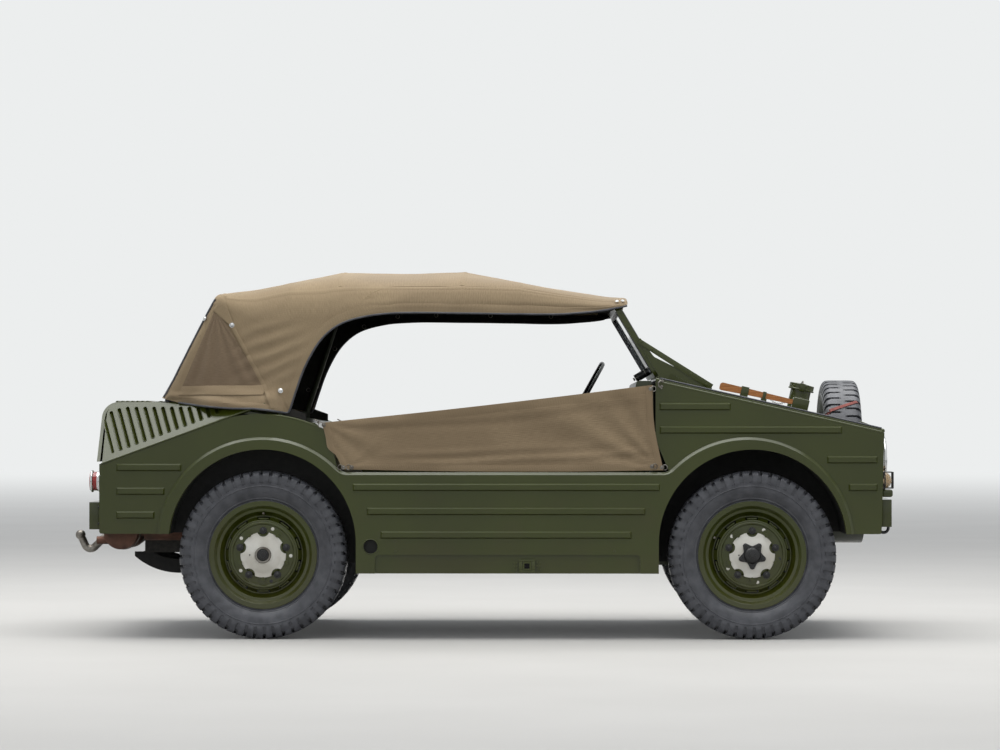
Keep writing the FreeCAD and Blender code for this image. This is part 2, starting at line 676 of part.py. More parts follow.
stay_outline = [
    (screen_base_x - 88, 1266, 6), (screen_base_x - 73, 1268, 6), (screen_base_x - 17, 1190, 30),
    (screen_base_x + 227, 1069, 5), (screen_base_x + 225, 1052), (screen_base_x + 155, 1066),
    (screen_base_x + 50, 1122, 10), (screen_base_x + 41, 1094), (screen_base_x + 7, 1102)]
stay_right = prism("stay_right", "XZ", stay_outline, s.screen_half, 5)
foot_x = screen_base_x + 200
stay_foot = box("stay_foot", foot_x, foot_x + 27, -s.screen_half - 16, -s.screen_half, hood_under(foot_x) + s.hood_wall, 1060)
windscreen_stays = pair("windscreen_stays", fuse("stay_joined", [stay_right, stay_foot]))

wiper_solids = []
for side in (-1, 1):
    y = side * 330
    motor = cylinder("wiper_motor", "Z", y, 38, -half_wall - 52, 17, 52)
    arm = box("wiper_arm", y - 3, y + 3, 14, 250, half_wall + 6, half_wall + 10)
    pivot = cylinder("wiper_pivot", "Z", y, 14, half_wall, 7, 12)
    blade = box("wiper_blade", y - 5, y + 5, 95, 305, half_wall + 1, half_wall + 6)
    wiper_solids += [motor, fuse("wiper_sweep", [arm, pivot, blade])]
wipers = node("wipers", on_screen(group("wipers", wiper_solids)))

# ---------------------------------------------------------------- soft top

canopy_profile = [(s.top_rear_x, 1018), (s.top_rear_x + 208, 1462, 60), (-655, 1556, 500), (-580, s.top_high, 200),
                  (-60, s.top_high, 300), (340, 1503, 900), (s.top_front_x, 1448, 12), (s.top_front_x - 10, 1420, 6), (560, 1388, 120),
                  (400, 1366, 400), (-300, 1372, 260), (-620, 1290, 190), (-735, 1060, 200), (-776, 950, 12),
                  (-900, 974, 100), (-1080, 972, 200)]
canopy_inside = [(s.top_rear_x + s.top_wall, 700), (s.top_rear_x + s.top_wall, 1018),
                 (s.top_rear_x + 214, 1455, 54), (-655, 1548, 500), (-582, s.top_high - s.top_wall, 192),
                 (-60, s.top_high - s.top_wall, 300), (340, 1495, 900), (s.top_front_x + 10, 1439), (1200, 1000), (1200, 700)]


def tent(name, profile, side_wall):
    """The soft top's space: a side profile narrowed by a front view and a plan view."""
    low, high, shoulder = s.body_half - 24 - side_wall, s.body_half - 52 - side_wall, 150 - side_wall
    front = [(-low, 500), (-high, 1512 - side_wall, shoulder), (0, 1598 - side_wall, 900), (high, 1512 - side_wall, shoulder),
             (low, 500)]
    rear_half, mid_half, front_half = [s.body_half - inset - side_wall for inset in (121, 26, 56)]
    front_x = s.top_front_x + 28
    plan = [(s.top_rear_x, -rear_half), (-985, -mid_half, 200), (front_x, -front_half), (front_x, front_half),
            (-985, mid_half, 200), (s.top_rear_x, rear_half)]
    body = across(name + "_side", profile, s.body_half + 20)
    narrowed = common(name + "_front", body, prism(name + "_front_view", "YZ", front, -1500, 2300))
    return common(name, narrowed, prism(name + "_plan_view", "XY", plan, 600, 1100))


louvre_shadow = prism("louvre_shadow", "XY", [(-20, -20), (deck_rise / rise_along + 60, -20), (-20, deck_rise / rise_up + 60)],
                      -80, 80.5)
louvre_shadow.Placement = louvre_frame
low_zone = box("low_zone", s.top_rear_x - 10, -700, -s.body_half - 20, 0, 900, s.deck_top + 1)
shadow_right = common("shadow_right", louvre_shadow, low_zone)
canopy = node("canopy", cut("canopy", tent("tent_out", canopy_profile, 0), [
    tent("tent_in", canopy_inside, s.top_wall), shadow_right, mirrored("shadow_left", shadow_right)]))


def bow(name, foot_x, foot_z, top_x, top_z, half):
    """A hoop of tube over the cabin, leaning from its feet to its top."""
    lean_x = (top_x - foot_x) / (top_z - foot_z)
    heights = [(half, foot_z), (half - 24, top_z - 55), (half - 130, top_z)]
    right = [(foot_x + (z - foot_z) * lean_x, -y, z) for y, z in heights]
    left = [(x, -y, z) for x, y, z in reversed(right)]
    return bent_tube(name, right + left, s.bow_radius, 90)


def socketed(name, hoop, x, y, low):
    """A hoop with a socket under each foot, seated on the rear deck."""
    sockets = [box(name + "_socket", x - 16, x + 16, side * y - 16, side * y + 16, low, low + 34) for side in (-1, 1)]
    return fuse(name, [hoop] + [cut(name + "_foot", socket, [rear_deck]) for socket in sockets])


top_bows = node("top_bows", group("top_bows", [
    socketed("main_hoop", bow("bow_main", -800, 944, -610, 1506, s.body_half - 62), -800, s.body_half - 62, 928),
    socketed("rear_hoop", bow("bow_rear", -1110, 998, -1030, 1436, s.body_half - 125), -1110, s.body_half - 125, 980)]))

curtain_outline = [(-636, 912, 20), (fore(418), 1076, 20), (fore(418), 850, 120), (fore(368), 708, 10), (-545, 708, 30),
                   (-600, 820, 60)]
curtain_right = prism("curtain_right", "XZ", curtain_outline, s.body_half + 0.5, 5)
side_curtains = pair("side_curtains", curtain_right)

# ---------------------------------------------------------------- cabin

cushion_front = 420


def seat(name, y):
    half = s.seat_width / 2
    cushion = across(name + "_cushion", [
        (cushion_front, s.seat_z - s.cushion_thick, 30), (cushion_front, s.seat_z, 35), (0, s.seat_z - 30, 20),
        (0, s.seat_z - s.cushion_thick - 20, 20)], half)
    back = across(name + "_back", [
        (14, s.seat_z - 90, 20), (-100, 905, 40), (-180, 890, 35), (-90, s.seat_z - 110, 20)], half - 10)
    legs = [box(name + "_leg", x, x + 26, side * 190 - 13, side * 190 + 13, floor_top, s.seat_z - s.cushion_thick + 5)
            for x in (20, 360) for side in (-1, 1)]
    whole = fuse(name, [cushion, back] + legs)
    whole.Placement.Base.y = float(y)
    return whole


seat_pair = [seat("seat_driver", s.seat_y), seat("seat_passenger", -s.seat_y)]
front_seats = node("front_seats", group("front_seats", seat_pair))
bench_cushion = across("bench_cushion", [
    (-250, 470, 30), (-250, 590, 35), (-585, 570, 20), (-585, 488, 10), (rear_wall_x + 2, 474, 10)], 560)
bench_back = across("bench_back", [
    (-588, 550, 10), (-636, 780), (-634, 900, 25), (-560, 890, 35), (-500, 560, 10)], 560)
bench_legs = [box("bench_leg", -290, -264, y - 13, y + 13, floor_top, 480) for y in (-450, 450)]
rear_bench = node("rear_bench", fuse("rear_bench", [bench_cushion, bench_back] + bench_legs))

column_dip = math.radians(float(s.column_slope))
column_axis = Vec(math.cos(column_dip), 0, -math.sin(column_dip))
column_rotation = Rot(Vec(0, 1, 0), column_axis.cross(Vec(0, 1, 0)), column_axis, "XYZ")
column_frame = FreeCAD.Placement(Vec(float(steer_x), float(s.steer_y), float(s.steer_z)), column_rotation)
column_length = (float(toe_board_x) - 8 - float(steer_x)) / math.cos(column_dip)
column_tube = cylinder("column_tube", "Z", 0, 0, 42, 19, column_length)
stand(column_tube, column_frame.multiply(FreeCAD.Placement(Vec(0, 0, 42), Rot())))
column_end = box("column_end", toe_board_x - 8, toe_board_x + 200, 200, 500, 500, 900)
column_clamp = box("column_clamp", fore(488), fore(452), s.steer_y - 16, s.steer_y + 16, 882, 928)
steering_column = node("steering_column", fuse("steering_column", [
    cut("column_trimmed", column_tube, [column_end]),
    cut("clamp_trimmed", column_clamp, [dash])]))

ring = torus("steer_ring", "Z", 0, 0, 0, s.wheel_ring - s.wheel_grip, s.wheel_grip)
hub = cylinder("steer_hub", "Z", 0, 0, -14, 34, 55.7)
spokes = [box("steer_spoke", -s.wheel_ring + 14, s.wheel_ring - 14, -9, 9, -4, 5),
          box("steer_spoke_low", -9, 9, -s.wheel_ring + 14, 0, -4, 5)]
steering_wheel = fuse("steering_wheel", [ring, hub] + spokes)
steering_wheel.Placement = column_frame
node("steering_wheel", steering_wheel)

lever_foot = floor_top + s.tunnel_high + 3.3
gear_stick = bent_tube("gear_stick", [(470, 0, lever_foot), (430, 0, 560), (440, 0, 690)], 8, 60)
gear_knob = sphere("gear_knob", 440, 0, 700, 22)
brake_lever = bent_tube("brake_lever", [(330, 45, lever_foot), (300, 45, 520), (120, 45, 600)], 9, 50)
floor_levers = node("floor_levers", group("floor_levers", [fuse("gear_lever", [gear_stick, gear_knob]), brake_lever]))

# ---------------------------------------------------------------- wheels

half_width = s.tyre_width / 2
wall_high = s.tyre_radius - s.flange_radius
wall_radius = s.flange_radius + wall_high * 0.4
shoulder_radius = s.tyre_radius - wall_high * 0.22
wall_round, shoulder_round, tread_round = wall_high * 0.317, wall_high * 0.159, wall_high * 0.111
tread_half = half_width * 0.756
tyre_outline = [
    (s.bead_radius + 0.2, -49.6), (s.flange_radius + 3, -53.2), (wall_radius, -half_width, wall_round),
    (shoulder_radius, 3 - half_width, shoulder_round), (s.tyre_radius, -tread_half, tread_round),
    (s.tyre_radius, tread_half, tread_round), (shoulder_radius, half_width - 3, shoulder_round),
    (wall_radius, half_width, wall_round), (s.flange_radius + 3, 53.2), (s.bead_radius + 0.2, 49.6)]
flange_in = s.flange_radius - 20.5
well_radius = s.vent_circle + 9
rim_outline = [(s.flange_radius, -53.5), (s.bead_radius, -50), (s.bead_radius, -46, 3), (well_radius + 7, -2, 10),
               (well_radius + 7, 22, 10), (s.bead_radius, 42, 3), (s.bead_radius, 50), (s.flange_radius, 53.5),
               (s.flange_radius, 60, 2), (flange_in, 57, 4), (s.bead_radius - 6, 46, 4), (well_radius, 26, 8),
               (well_radius, 6, 4), (s.vent_circle, -10, 5), (s.disc_ring, -37, 6), (96, -41), (96, -46),
               (s.disc_ring + 4, -43, 6), (s.vent_circle + 5, -16, 5), (well_radius + 2, -10, 5),
               (s.bead_radius - 20, -41, 5), (s.bead_radius - 8, -46, 3), (flange_in, -59.5, 4),
               (s.flange_radius, -62, 2)]
drum_outline = [(0, -62), (33, -62, 4), (38, -50, 3), (86, -49, 6), (94, -41), (126, -41, 4), (126, 19, 4), (0, 19)]


def on_wheel(thing, angle, radius, axial):
    """Turn a piece to its place on a circle round the wheel's own Y axis."""
    turn = Rot(Vec(0, 1, 0), angle)
    return stand(thing, FreeCAD.Placement(turn.multVec(Vec(radius, axial, 0)), turn))


def stud_cylinder(name, number, axial, radius, length):
    piece = cylinder(name, "Y", 0, 0, 0, radius, length)
    turn = Rot(Vec(0, 1, 0), 18 + number * 72)
    return stand(piece, FreeCAD.Placement(turn.multVec(Vec(float(s.stud_circle), axial, 0)), AXIS_TURNS["Y"]))


def vent(number):
    slot_half = 28
    oval = prism("vent_" + str(number), "XZ", [
        (-7.5, -slot_half, 7), (-7.5, slot_half, 7), (7.5, slot_half, 7), (7.5, -slot_half, 7)], 0, 40)
    return on_wheel(oval, 18 + number * 36, float(s.vent_circle), 0)


tyre_master = turned("tyre_master", tyre_outline)
rim_disc = turned("rim_disc", rim_outline)
tabs = [stud_cylinder("stud_tab", number, -46, 23, 5) for number in range(5)]
drum = cut("drum_cleared", turned("drum_blank", drum_outline), [
    stud_cylinder("tab_space", number, -80, 26, 39) for number in range(5)])
studs = [stud_cylinder("wheel_stud", number, -58, 9, 20) for number in range(5)]
vents = [vent(number) for number in range(10)]
rim_master = fuse("rim_master", [cut("rim_vented", fuse("rim_tabbed", [rim_disc] + tabs), vents), drum] + studs)


def copy_at(name, source, x, y, z, flip):
    """The right-hand piece set at a wheel's centre, or its mirror image on the left."""
    if flip:
        source = mirrored(name + "_flip", source)
    held = group(name, [source])
    return place(held, x, y, z)


for end, axle_x in (("rear", s.rear_axle_x), ("front", front_axle_x)):
    for side, y, flip in (("right", -s.half_track, False), ("left", s.half_track, True)):
        for piece, source in (("tyre", tyre_master), ("rim", rim_master)):
            name = end + "_" + side + "_" + piece
            node(name, copy_at(name, source, axle_x, y, s.tyre_radius, flip))

spare_z = s.well_z - well_inner + s.tyre_radius + 0.5
quarter = Rot(Vec(0, 0, 1), 90)
for piece, source in (("tyre", tyre_master), ("rim", rim_disc)):
    spare = group("spare_" + piece, [source])
    place(spare, spare_x, 0, spare_z, quarter)
    node("spare_" + piece, spare)

# ---------------------------------------------------------------- axles, steering and engine

pin_y = s.half_track - s.steer_offset
axle_z = s.tyre_radius


def front_corner():
    """Trailing arms and king pin carrier on the right side."""
    arms = [box("front_arm", front_axle_x - 22, front_axle_x + 165, -500, -478, z - 22, z + 22) for z in (330, 455)]
    carrier = box("pin_carrier", front_axle_x - 20, front_axle_x + 20, -pin_y + 22.5, -490, 308, 477)
    return fuse("front_corner", arms + [carrier])


beam_x = front_axle_x + 165
beam_tubes = [cylinder("beam_tube", "Y", beam_x, -500, z, 38, 1000) for z in (330, 455)]
beam_brackets = [box("beam_bracket", beam_x - 30, beam_x + 30, y0, y1, 330, 580)
                 for y0, y1 in ((-420, -402), (402, 420))]
differential = sphere("differential", front_axle_x, 0, axle_z + 20, 105)
half_shafts = cylinder("half_shafts", "Y", front_axle_x, -pin_y + 40, axle_z, 15, (pin_y - 40) * 2)
carrier_bar = box("differential_bar", front_axle_x, beam_x, -35, 35, 330, 440)
right_corner = front_corner()
front_axle = node("front_axle", fuse("front_axle", beam_tubes + beam_brackets + [
    differential, half_shafts, carrier_bar, right_corner, mirrored("left_corner", right_corner)]))

post = cylinder("king_post", "Z", front_axle_x, -pin_y, 262, 22, 190)
backing = cylinder("front_backing", "Y", front_axle_x, -pin_y - 30, axle_z, 128, 8)
stub = cylinder("front_stub", "Y", front_axle_x, -pin_y - 35.5, axle_z, 24, 40)
arm = box("steer_arm", front_axle_x - s.steer_arm - 14, front_axle_x, -pin_y - 12, -pin_y + 12, 292, 308)
ball_joint = cylinder("arm_joint", "Z", front_axle_x - s.steer_arm, -pin_y, 286, 14, 28)
knuckle_right = node("knuckle_right", fuse("knuckle_right", [post, backing, stub, arm, ball_joint]))
knuckle_left = node("knuckle_left", mirrored("knuckle_left", knuckle_right))
track_rod = node("track_rod", fuse("track_rod", [
    cylinder("track_bar", "Y", front_axle_x - s.steer_arm, -pin_y, 269, 11, pin_y * 2),
    cylinder("track_end_right", "Z", front_axle_x - s.steer_arm, -pin_y, 258, 15, 27.7),
    cylinder("track_end_left", "Z", front_axle_x - s.steer_arm, pin_y, 258, 15, 27.7)]))

torsion_tube = cylinder("torsion_tube", "Y", -545, -s.rear_house_in, 372, 42, s.rear_house_in * 2)
gear_case = cylinder("gear_case", "X", -1010, 0, 385, 130, 230)
gear_nose = cylinder("gear_nose", "X", -800, 0, axle_z + 18, 78, 300)
swing_tubes = cylinder("swing_tubes", "Y", s.rear_axle_x, -600, axle_z, 42, 1200)
rear_carriers = [cylinder("rear_carrier", "Y", s.rear_axle_x, y, axle_z, 110, 50) for y in (-645, 595)]
rear_backing = [cylinder("rear_backing", "Y", s.rear_axle_x, y, axle_z, 128, 8) for y in (-665, 657)]
rear_stubs = [cylinder("rear_stub", "Y", s.rear_axle_x, y, axle_z, 24, 30) for y in (-670.5, 640.5)]
rear_axle = node("rear_axle", fuse("rear_axle", [
    torsion_tube, gear_case, gear_nose, swing_tubes] + rear_carriers + rear_backing + rear_stubs))
prop_shaft = node("prop_shaft", cylinder("prop_shaft", "X", -499.7, 0, axle_z + 18, 24, front_axle_x - 105.6 + 499.7))

engine_block = node("engine_block", box("engine_block", s.engine_rear_x, -1010, -330, 330, 350, 800))
silencer_body = cylinder("silencer_body", "Y", s.silencer_x, -525, s.silencer_z, s.silencer_radius, 455)
silencer_pipes = [cylinder("silencer_pipe", "X", s.silencer_x + 40, y, s.silencer_z, 22, s.engine_rear_x - s.silencer_x - 40.3)
                  for y in (-230, -120)]
tail_pipe = cylinder("tail_pipe", "X", s.silencer_x - 130, -300, s.silencer_z - 40, 17, 90)
silencer = node("silencer", fuse("silencer", [silencer_body, tail_pipe] + silencer_pipes))

guard_x, guard_z, guard_radius = -1285, 553, 296
guard_ring = cut("guard_ring", cylinder("guard_out", "Y", guard_x, -240, guard_z, guard_radius, 480), [
    cylinder("guard_in", "Y", guard_x, -234, guard_z, guard_radius - 6, 468)])
guard_core = cylinder("guard_core", "Y", guard_x, -260, guard_z, guard_radius - 60, 520)
guard_zone = box("guard_zone", -1480, -1040, -250, 250, 200, 350)
engine_guard = node("engine_guard", common("engine_guard", cut("guard_shell", guard_ring, [guard_core]), guard_zone))

# ---------------------------------------------------------------- bumpers, lamps and fittings

front_bumper_x = bumper_front_x - s.bumper_deep


def channel(name, x0, x1, half, low, high, face_front):
    """A bumper channel, open towards the body."""
    wall = 5
    blank = box(name + "_blank", x0, x1, -half, half, low, high)
    inner0, inner1 = (x0, x1 - wall) if face_front else (x0 + wall, x1)
    hollow = box(name + "_hollow", inner0, inner1, -half - 5, half + 5, low + wall, high - wall)
    return cut(name, blank, [hollow])


front_channel = channel("front_channel", front_bumper_x, bumper_front_x, s.bumper_half, s.bumper_low,
                        s.bumper_low + s.bumper_tall, True)
front_irons = [box("front_iron", nose_face(560) + 0.3, bumper_front_x - 4, y - 20, y + 20, 500, 560) for y in (-420, 420)]
front_bumper = node("front_bumper", fuse("front_bumper", [front_channel] + front_irons))
rear_channel = channel("rear_channel", s.tail_x - s.bumper_deep - 10, s.tail_x - 10, s.bumper_half, 460, 575, False)
rear_irons = [box("rear_iron", s.tail_x - 48, s.tail_x - 0.3, y - 20, y + 20, 500, 545) for y in (-600, 600)]
rear_bumper = node("rear_bumper", fuse("rear_bumper", [rear_channel] + rear_irons))


def headlamp(y):
    bowl = cylinder("lamp_bowl", "X", nose_x - 90, y, s.lamp_z, s.lamp_radius - 8, 92)
    rim_top = s.lamp_z + s.lamp_radius + 8
    rim = cylinder("lamp_rim", "X", nose_face(rim_top) + 0.5, y, s.lamp_z, s.lamp_radius + 8, 13)
    lens = sphere("lamp_lens", nose_x - 150, y, s.lamp_z, 180)
    lens_zone = cylinder("lens_zone", "X", nose_x, y, s.lamp_z, s.lamp_radius - 6, 60)
    return fuse("headlamp", [bowl, rim, common("lens_cap", lens, lens_zone)])


headlamps = node("headlamps", group("headlamps", [headlamp(y) for y in (-s.lamp_y, s.lamp_y)]))


def marker(y):
    base_x = nose_face(s.marker_z + s.marker_radius) + 0.5
    base = cylinder("marker_base", "X", base_x, y, s.marker_z, s.marker_radius, 12)
    bulge = sphere("marker_bulge", base_x - 16, y, s.marker_z, s.marker_radius + 4)
    zone = cylinder("marker_zone", "X", base_x, y, s.marker_z, s.marker_radius - 4, 60)
    return fuse("marker", [base, common("marker_lens", bulge, zone)])


marker_lamps = node("marker_lamps", group("marker_lamps", [marker(y) for y in (-690, 690)]))


def tail_lamp(y):
    body = cylinder("tail_lamp_body", "X", s.tail_x - 46, y, s.tail_lamp_z, s.tail_lamp_radius, 46)
    hoop = torus("tail_lamp_hoop", "X", s.tail_x - 38, y, s.tail_lamp_z, s.tail_lamp_radius + 2, 5)
    return fuse("tail_lamp", [body, hoop])


tail_lamps = node("tail_lamps", group("tail_lamps", [tail_lamp(y) for y in (-s.tail_lamp_y, s.tail_lamp_y)]))

hook_plate = box("hook_plate", s.tail_x + s.skin + 0.3, s.tail_x + s.skin + 15, -45, 45, 396, 500)
hook_arm = bent_tube("hook_arm", [(s.tail_x + s.skin + 8, 0, 423), (s.tail_x - 72, 0, 406), (-1712, 0, 335),
                                  (s.ball_x, 0, s.ball_z)], s.hook_radius, 26)
tow_hook = node("tow_hook", fuse("tow_hook", [hook_plate, hook_arm, sphere("hook_ball", s.ball_x, 0, s.ball_z, s.ball_radius)]))

filler_x, filler_y = float(front_axle_x) + 212, -330
hood_tilt = math.atan(float(hood_slope))
hood_turn = Rot(Vec(0, 1, 0), math.degrees(hood_tilt))


def on_hood(thing, x, y):
    """Stand a piece drawn upright on the hood's top surface."""
    top = float(hood_under(x)) + float(s.hood_wall) / math.cos(hood_tilt)
    thing.Placement = FreeCAD.Placement(Vec(x, y, top), hood_turn)
    return thing


filler = node("fuel_filler", on_hood(fuse("fuel_filler", [
    cylinder("filler_neck", "Z", 0, 0, 0.2, 44, 92),
    cylinder("filler_lid", "Z", 0, 0, 92, 53, 24)]), filler_x, filler_y))

axe_x, axe_y = float(front_axle_x) - 134, -560
handle = prism("axe_haft", "XZ", [(0, 12, 10), (0, 46, 12), (120, 44, 300), (318, 40), (318, 20), (120, 16, 300)], -15, 30)
axe_handle = node("axe_handle", on_hood(group("axe_handle", [handle]), axe_x, axe_y))
axe_block = prism("axe_block", "XZ", [(318, 8, 4), (318, 48, 4), (352, 46), (384, 50, 3), (384, 6, 3), (352, 10)], -18, 36)
clips = []
for x in (98, 182):
    clips.append(box("clip_foot", x, x + 24, -20, 20, 0.2, 14 if x == 98 else 17))
axe_head = node("axe_head", on_hood(group("axe_head", [fuse("axe_head_joined", [
    axe_block, box("head_rest", 330, 372, -12, 12, 0.2, 12)])] + clips), axe_x, axe_y))


# ---------------------------------------------------------------- output

doc.recompute()
faults = [thing.Name for thing in doc.Objects if "Invalid" in thing.State or "Error" in thing.State]
faults += [thing.Label for thing in nodes if thing.Shape.isNull() or not thing.Shape.isValid()]
if faults:
    raise RuntimeError("failed: " + ", ".join(faults))
os.makedirs("parts", exist_ok=True)
for thing in nodes:
    thing.Shape.exportStep("parts/" + thing.Label + ".step")
    print(thing.Label, len(thing.Shape.Solids), thing.Shape.BoundBox)
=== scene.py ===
import math

import bpy
from mathutils import Matrix, Vector, noise


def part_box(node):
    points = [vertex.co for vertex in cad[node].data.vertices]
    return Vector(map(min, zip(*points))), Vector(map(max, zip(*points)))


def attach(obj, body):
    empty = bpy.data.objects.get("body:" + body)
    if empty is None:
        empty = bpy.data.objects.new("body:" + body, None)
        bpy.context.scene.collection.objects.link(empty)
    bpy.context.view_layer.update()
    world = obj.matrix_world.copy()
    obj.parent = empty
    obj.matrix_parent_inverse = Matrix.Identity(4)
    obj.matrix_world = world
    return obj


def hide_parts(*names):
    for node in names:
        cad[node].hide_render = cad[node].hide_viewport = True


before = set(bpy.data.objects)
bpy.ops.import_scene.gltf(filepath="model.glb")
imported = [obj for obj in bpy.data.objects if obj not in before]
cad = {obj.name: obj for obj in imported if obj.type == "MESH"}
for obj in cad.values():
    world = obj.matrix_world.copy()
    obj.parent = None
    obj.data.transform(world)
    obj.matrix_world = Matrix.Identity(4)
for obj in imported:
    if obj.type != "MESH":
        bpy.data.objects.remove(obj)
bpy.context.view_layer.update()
print("frame loaded:", len(cad), "nodes")


# camera at the side, low and far away

view = {"place": (0.372, -16.19, 0.94), "target": (0.118, -0.69, 1.113), "lens": 132.0, "sensor": 36.0,
        "farClip": 300.0}
bpy.ops.object.camera_add(location=view["place"])
camera = bpy.context.object
camera.name = "camera"
camera.data.lens = view["lens"]
camera.data.sensor_width = view["sensor"]
camera.data.clip_end = view["farClip"]
camera.rotation_euler = (Vector(view["target"]) - Vector(view["place"])).to_track_quat("-Z", "Y").to_euler()
bpy.context.scene.camera = camera


# material helpers

def toLinear(hexText):
    values = [int(hexText[i:i + 2], 16) / 255 for i in (1, 3, 5)]
    return [v / 12.92 if v <= 0.04045 else ((v + 0.055) / 1.055) ** 2.4 for v in values] + [1.0]


def addNode(tree, kind, inputs=None, out=0, stops=None, **settings):
    node = tree.nodes.new("ShaderNode" + kind)
    for key, value in settings.items():
        setattr(node, key, value)
    for key, value in (inputs or {}).items():
        if isinstance(value, bpy.types.NodeSocket):
            tree.links.new(value, node.inputs[key])
        else:
            node.inputs[key].default_value = toLinear(value) if isinstance(value, str) else value
    if stops:
        elements = node.color_ramp.elements
        while len(elements) < len(stops):
            elements.new(0.5)
        for element, (position, colour) in zip(elements, stops):
            element.position = position
            element.color = toLinear(colour) if isinstance(colour, str) else (colour, colour, colour, 1)
    return node.outputs[out] if node.outputs else node


def startMaterial(name):
    material = bpy.data.materials.new(name)
    material.use_nodes = True
    material.node_tree.nodes.clear()
    return material, material.node_tree


def endMaterial(tree, sockets):
    shader = addNode(tree, "BsdfPrincipled", sockets)
    addNode(tree, "OutputMaterial", {"Surface": shader})


# finishes: each starts from what the real surface is

def makeEnamel(name, light, dark, rough, film=None):
    # sprayed alkyd enamel, satin: faint clouding over half a metre, 3 mm peel, and towards the ground a warm brown that
    # is partly road film and partly painted light, the warm glow the ground throws up
    material, tree = startMaterial(name)
    point = addNode(tree, "TexCoord", out="Object")
    cloud = addNode(tree, "TexNoise", {"Vector": point, "Scale": 1.8, "Detail": 3.0})
    colour = addNode(tree, "ValToRGB", {"Fac": cloud}, stops=[(0.35, dark), (0.65, light)])
    # warm brown mixed in towards the ground: road dirt together with painted ground-bounce light
    if film:
        height = addNode(tree, "SeparateXYZ", {"Vector": point}, out="Z")
        ragged = addNode(tree, "TexNoise", {"Vector": point, "Scale": 7.0, "Detail": 4.0})
        level = addNode(tree, "Math", {0: height, 1: ragged}, operation="ADD")
        share = addNode(tree, "ValToRGB", {"Fac": level}, stops=[(0.70, 0.30), (1.15, 0.0)])
        colour = addNode(tree, "MixRGB", {"Fac": share, "Color1": colour, "Color2": film})
    peel = addNode(tree, "TexNoise", {"Vector": point, "Scale": 330.0, "Detail": 1.0})
    bump = addNode(tree, "Bump", {"Height": peel, "Distance": 0.00004})
    endMaterial(tree, {"Base Color": colour, "Roughness": rough, "Specular IOR Level": 0.36, "Coat Weight": 0.30,
                       "Coat Roughness": 0.15, "Normal": bump})
    return material


def makeCanvas(name, light, dark, stain):
    # woven cotton duck: matt, threads 0.8 mm drawn at 4 mm so they show, slubs, darker weathering in patches
    material, tree = startMaterial(name)
    cloth = addNode(tree, "TexCoord", out="UV")
    point = addNode(tree, "TexCoord", out="Object")
    yarn = {"Vector": cloth, "Scale": 260.0 / 6.28, "Distortion": 1.4, "Detail": 1.0}
    warp = addNode(tree, "TexWave", yarn, out="Fac", bands_direction="X")
    weft = addNode(tree, "TexWave", yarn, out="Fac", bands_direction="Y")
    weave = addNode(tree, "Math", {0: warp, 1: weft}, operation="MULTIPLY")
    drawn = addNode(tree, "Mapping", {"Vector": cloth, "Scale": (1.0, 9.0, 1.0)})
    slub = addNode(tree, "TexNoise", {"Vector": drawn, "Scale": 34.0, "Detail": 3.0})
    wear = addNode(tree, "TexNoise", {"Vector": point, "Scale": 2.6, "Detail": 4.0})
    colour = addNode(tree, "ValToRGB", {"Fac": slub}, stops=[(0.3, dark), (0.7, light)])
    share = addNode(tree, "ValToRGB", {"Fac": wear}, stops=[(0.42, 0.42), (0.62, 0.0)])
    colour = addNode(tree, "MixRGB", {"Fac": share, "Color1": colour, "Color2": stain})
    # the weave laid faintly into the colour: painted light on the thread crossings, painted shade between the threads
    weaveLightAndShade = addNode(tree, "ValToRGB", {"Fac": weave}, stops=[(0.0, "#000000"), (1.0, "#ffffff")])
    colour = addNode(tree, "MixRGB", {"Fac": 0.06, "Color1": colour, "Color2": weaveLightAndShade}, blend_type="SOFT_LIGHT")
    bump = addNode(tree, "Bump", {"Height": weave, "Distance": 0.00014})
    endMaterial(tree, {"Base Color": colour, "Roughness": 0.92, "Specular IOR Level": 0.12, "Sheen Weight": 0.12,
                       "Sheen Roughness": 0.6, "Normal": bump})
    return material


def makePlain(name, light, dark, rough, metal, grain, depth, extra=None):
    # one mottled surface: grain is its blotches to the metre, depth how far it stands up
    material, tree = startMaterial(name)
    point = addNode(tree, "TexCoord", out="Object")
    mottle = addNode(tree, "TexNoise", {"Vector": point, "Scale": grain, "Detail": 4.0})
    colour = addNode(tree, "ValToRGB", {"Fac": mottle}, stops=[(0.35, dark), (0.65, light)])
    fine = addNode(tree, "TexNoise", {"Vector": point, "Scale": grain * 3.1, "Detail": 2.0})
    bump = addNode(tree, "Bump", {"Height": fine, "Distance": depth})
    endMaterial(tree, {"Base Color": colour, "Roughness": rough, "Metallic": metal, "Normal": bump, **(extra or {})})
    return material


def makeAshWood():
    # ash haft, oiled: long open grain along X with bands 4 mm apart, darker fibre streaks at random
    material, tree = startMaterial("oiledAsh")
    point = addNode(tree, "TexCoord", out="Object")
    long = addNode(tree, "Mapping", {"Vector": point, "Scale": (1.0, 14.0, 14.0)})
    bands = addNode(tree, "TexWave", {"Vector": long, "Scale": 3.0, "Distortion": 5.0, "Detail": 3.0},
                    out="Fac", bands_direction="Z")
    hair = addNode(tree, "Mapping", {"Vector": point, "Scale": (1.0, 30.0, 30.0)})
    fibre = addNode(tree, "TexNoise", {"Vector": hair, "Scale": 22.0, "Detail": 3.0})
    share = addNode(tree, "ValToRGB", {"Fac": fibre}, stops=[(0.3, 0.0), (0.8, 0.55)])
    wood = addNode(tree, "ValToRGB", {"Fac": bands}, stops=[(0.0, "#c98a50"), (1.0, "#a9652f")])
    colour = addNode(tree, "MixRGB", {"Fac": share, "Color1": wood, "Color2": "#7c4722"})
    bump = addNode(tree, "Bump", {"Height": bands, "Distance": 0.0002})
    endMaterial(tree, {"Base Color": colour, "Roughness": 0.45, "Specular IOR Level": 0.35, "Normal": bump})
    return material


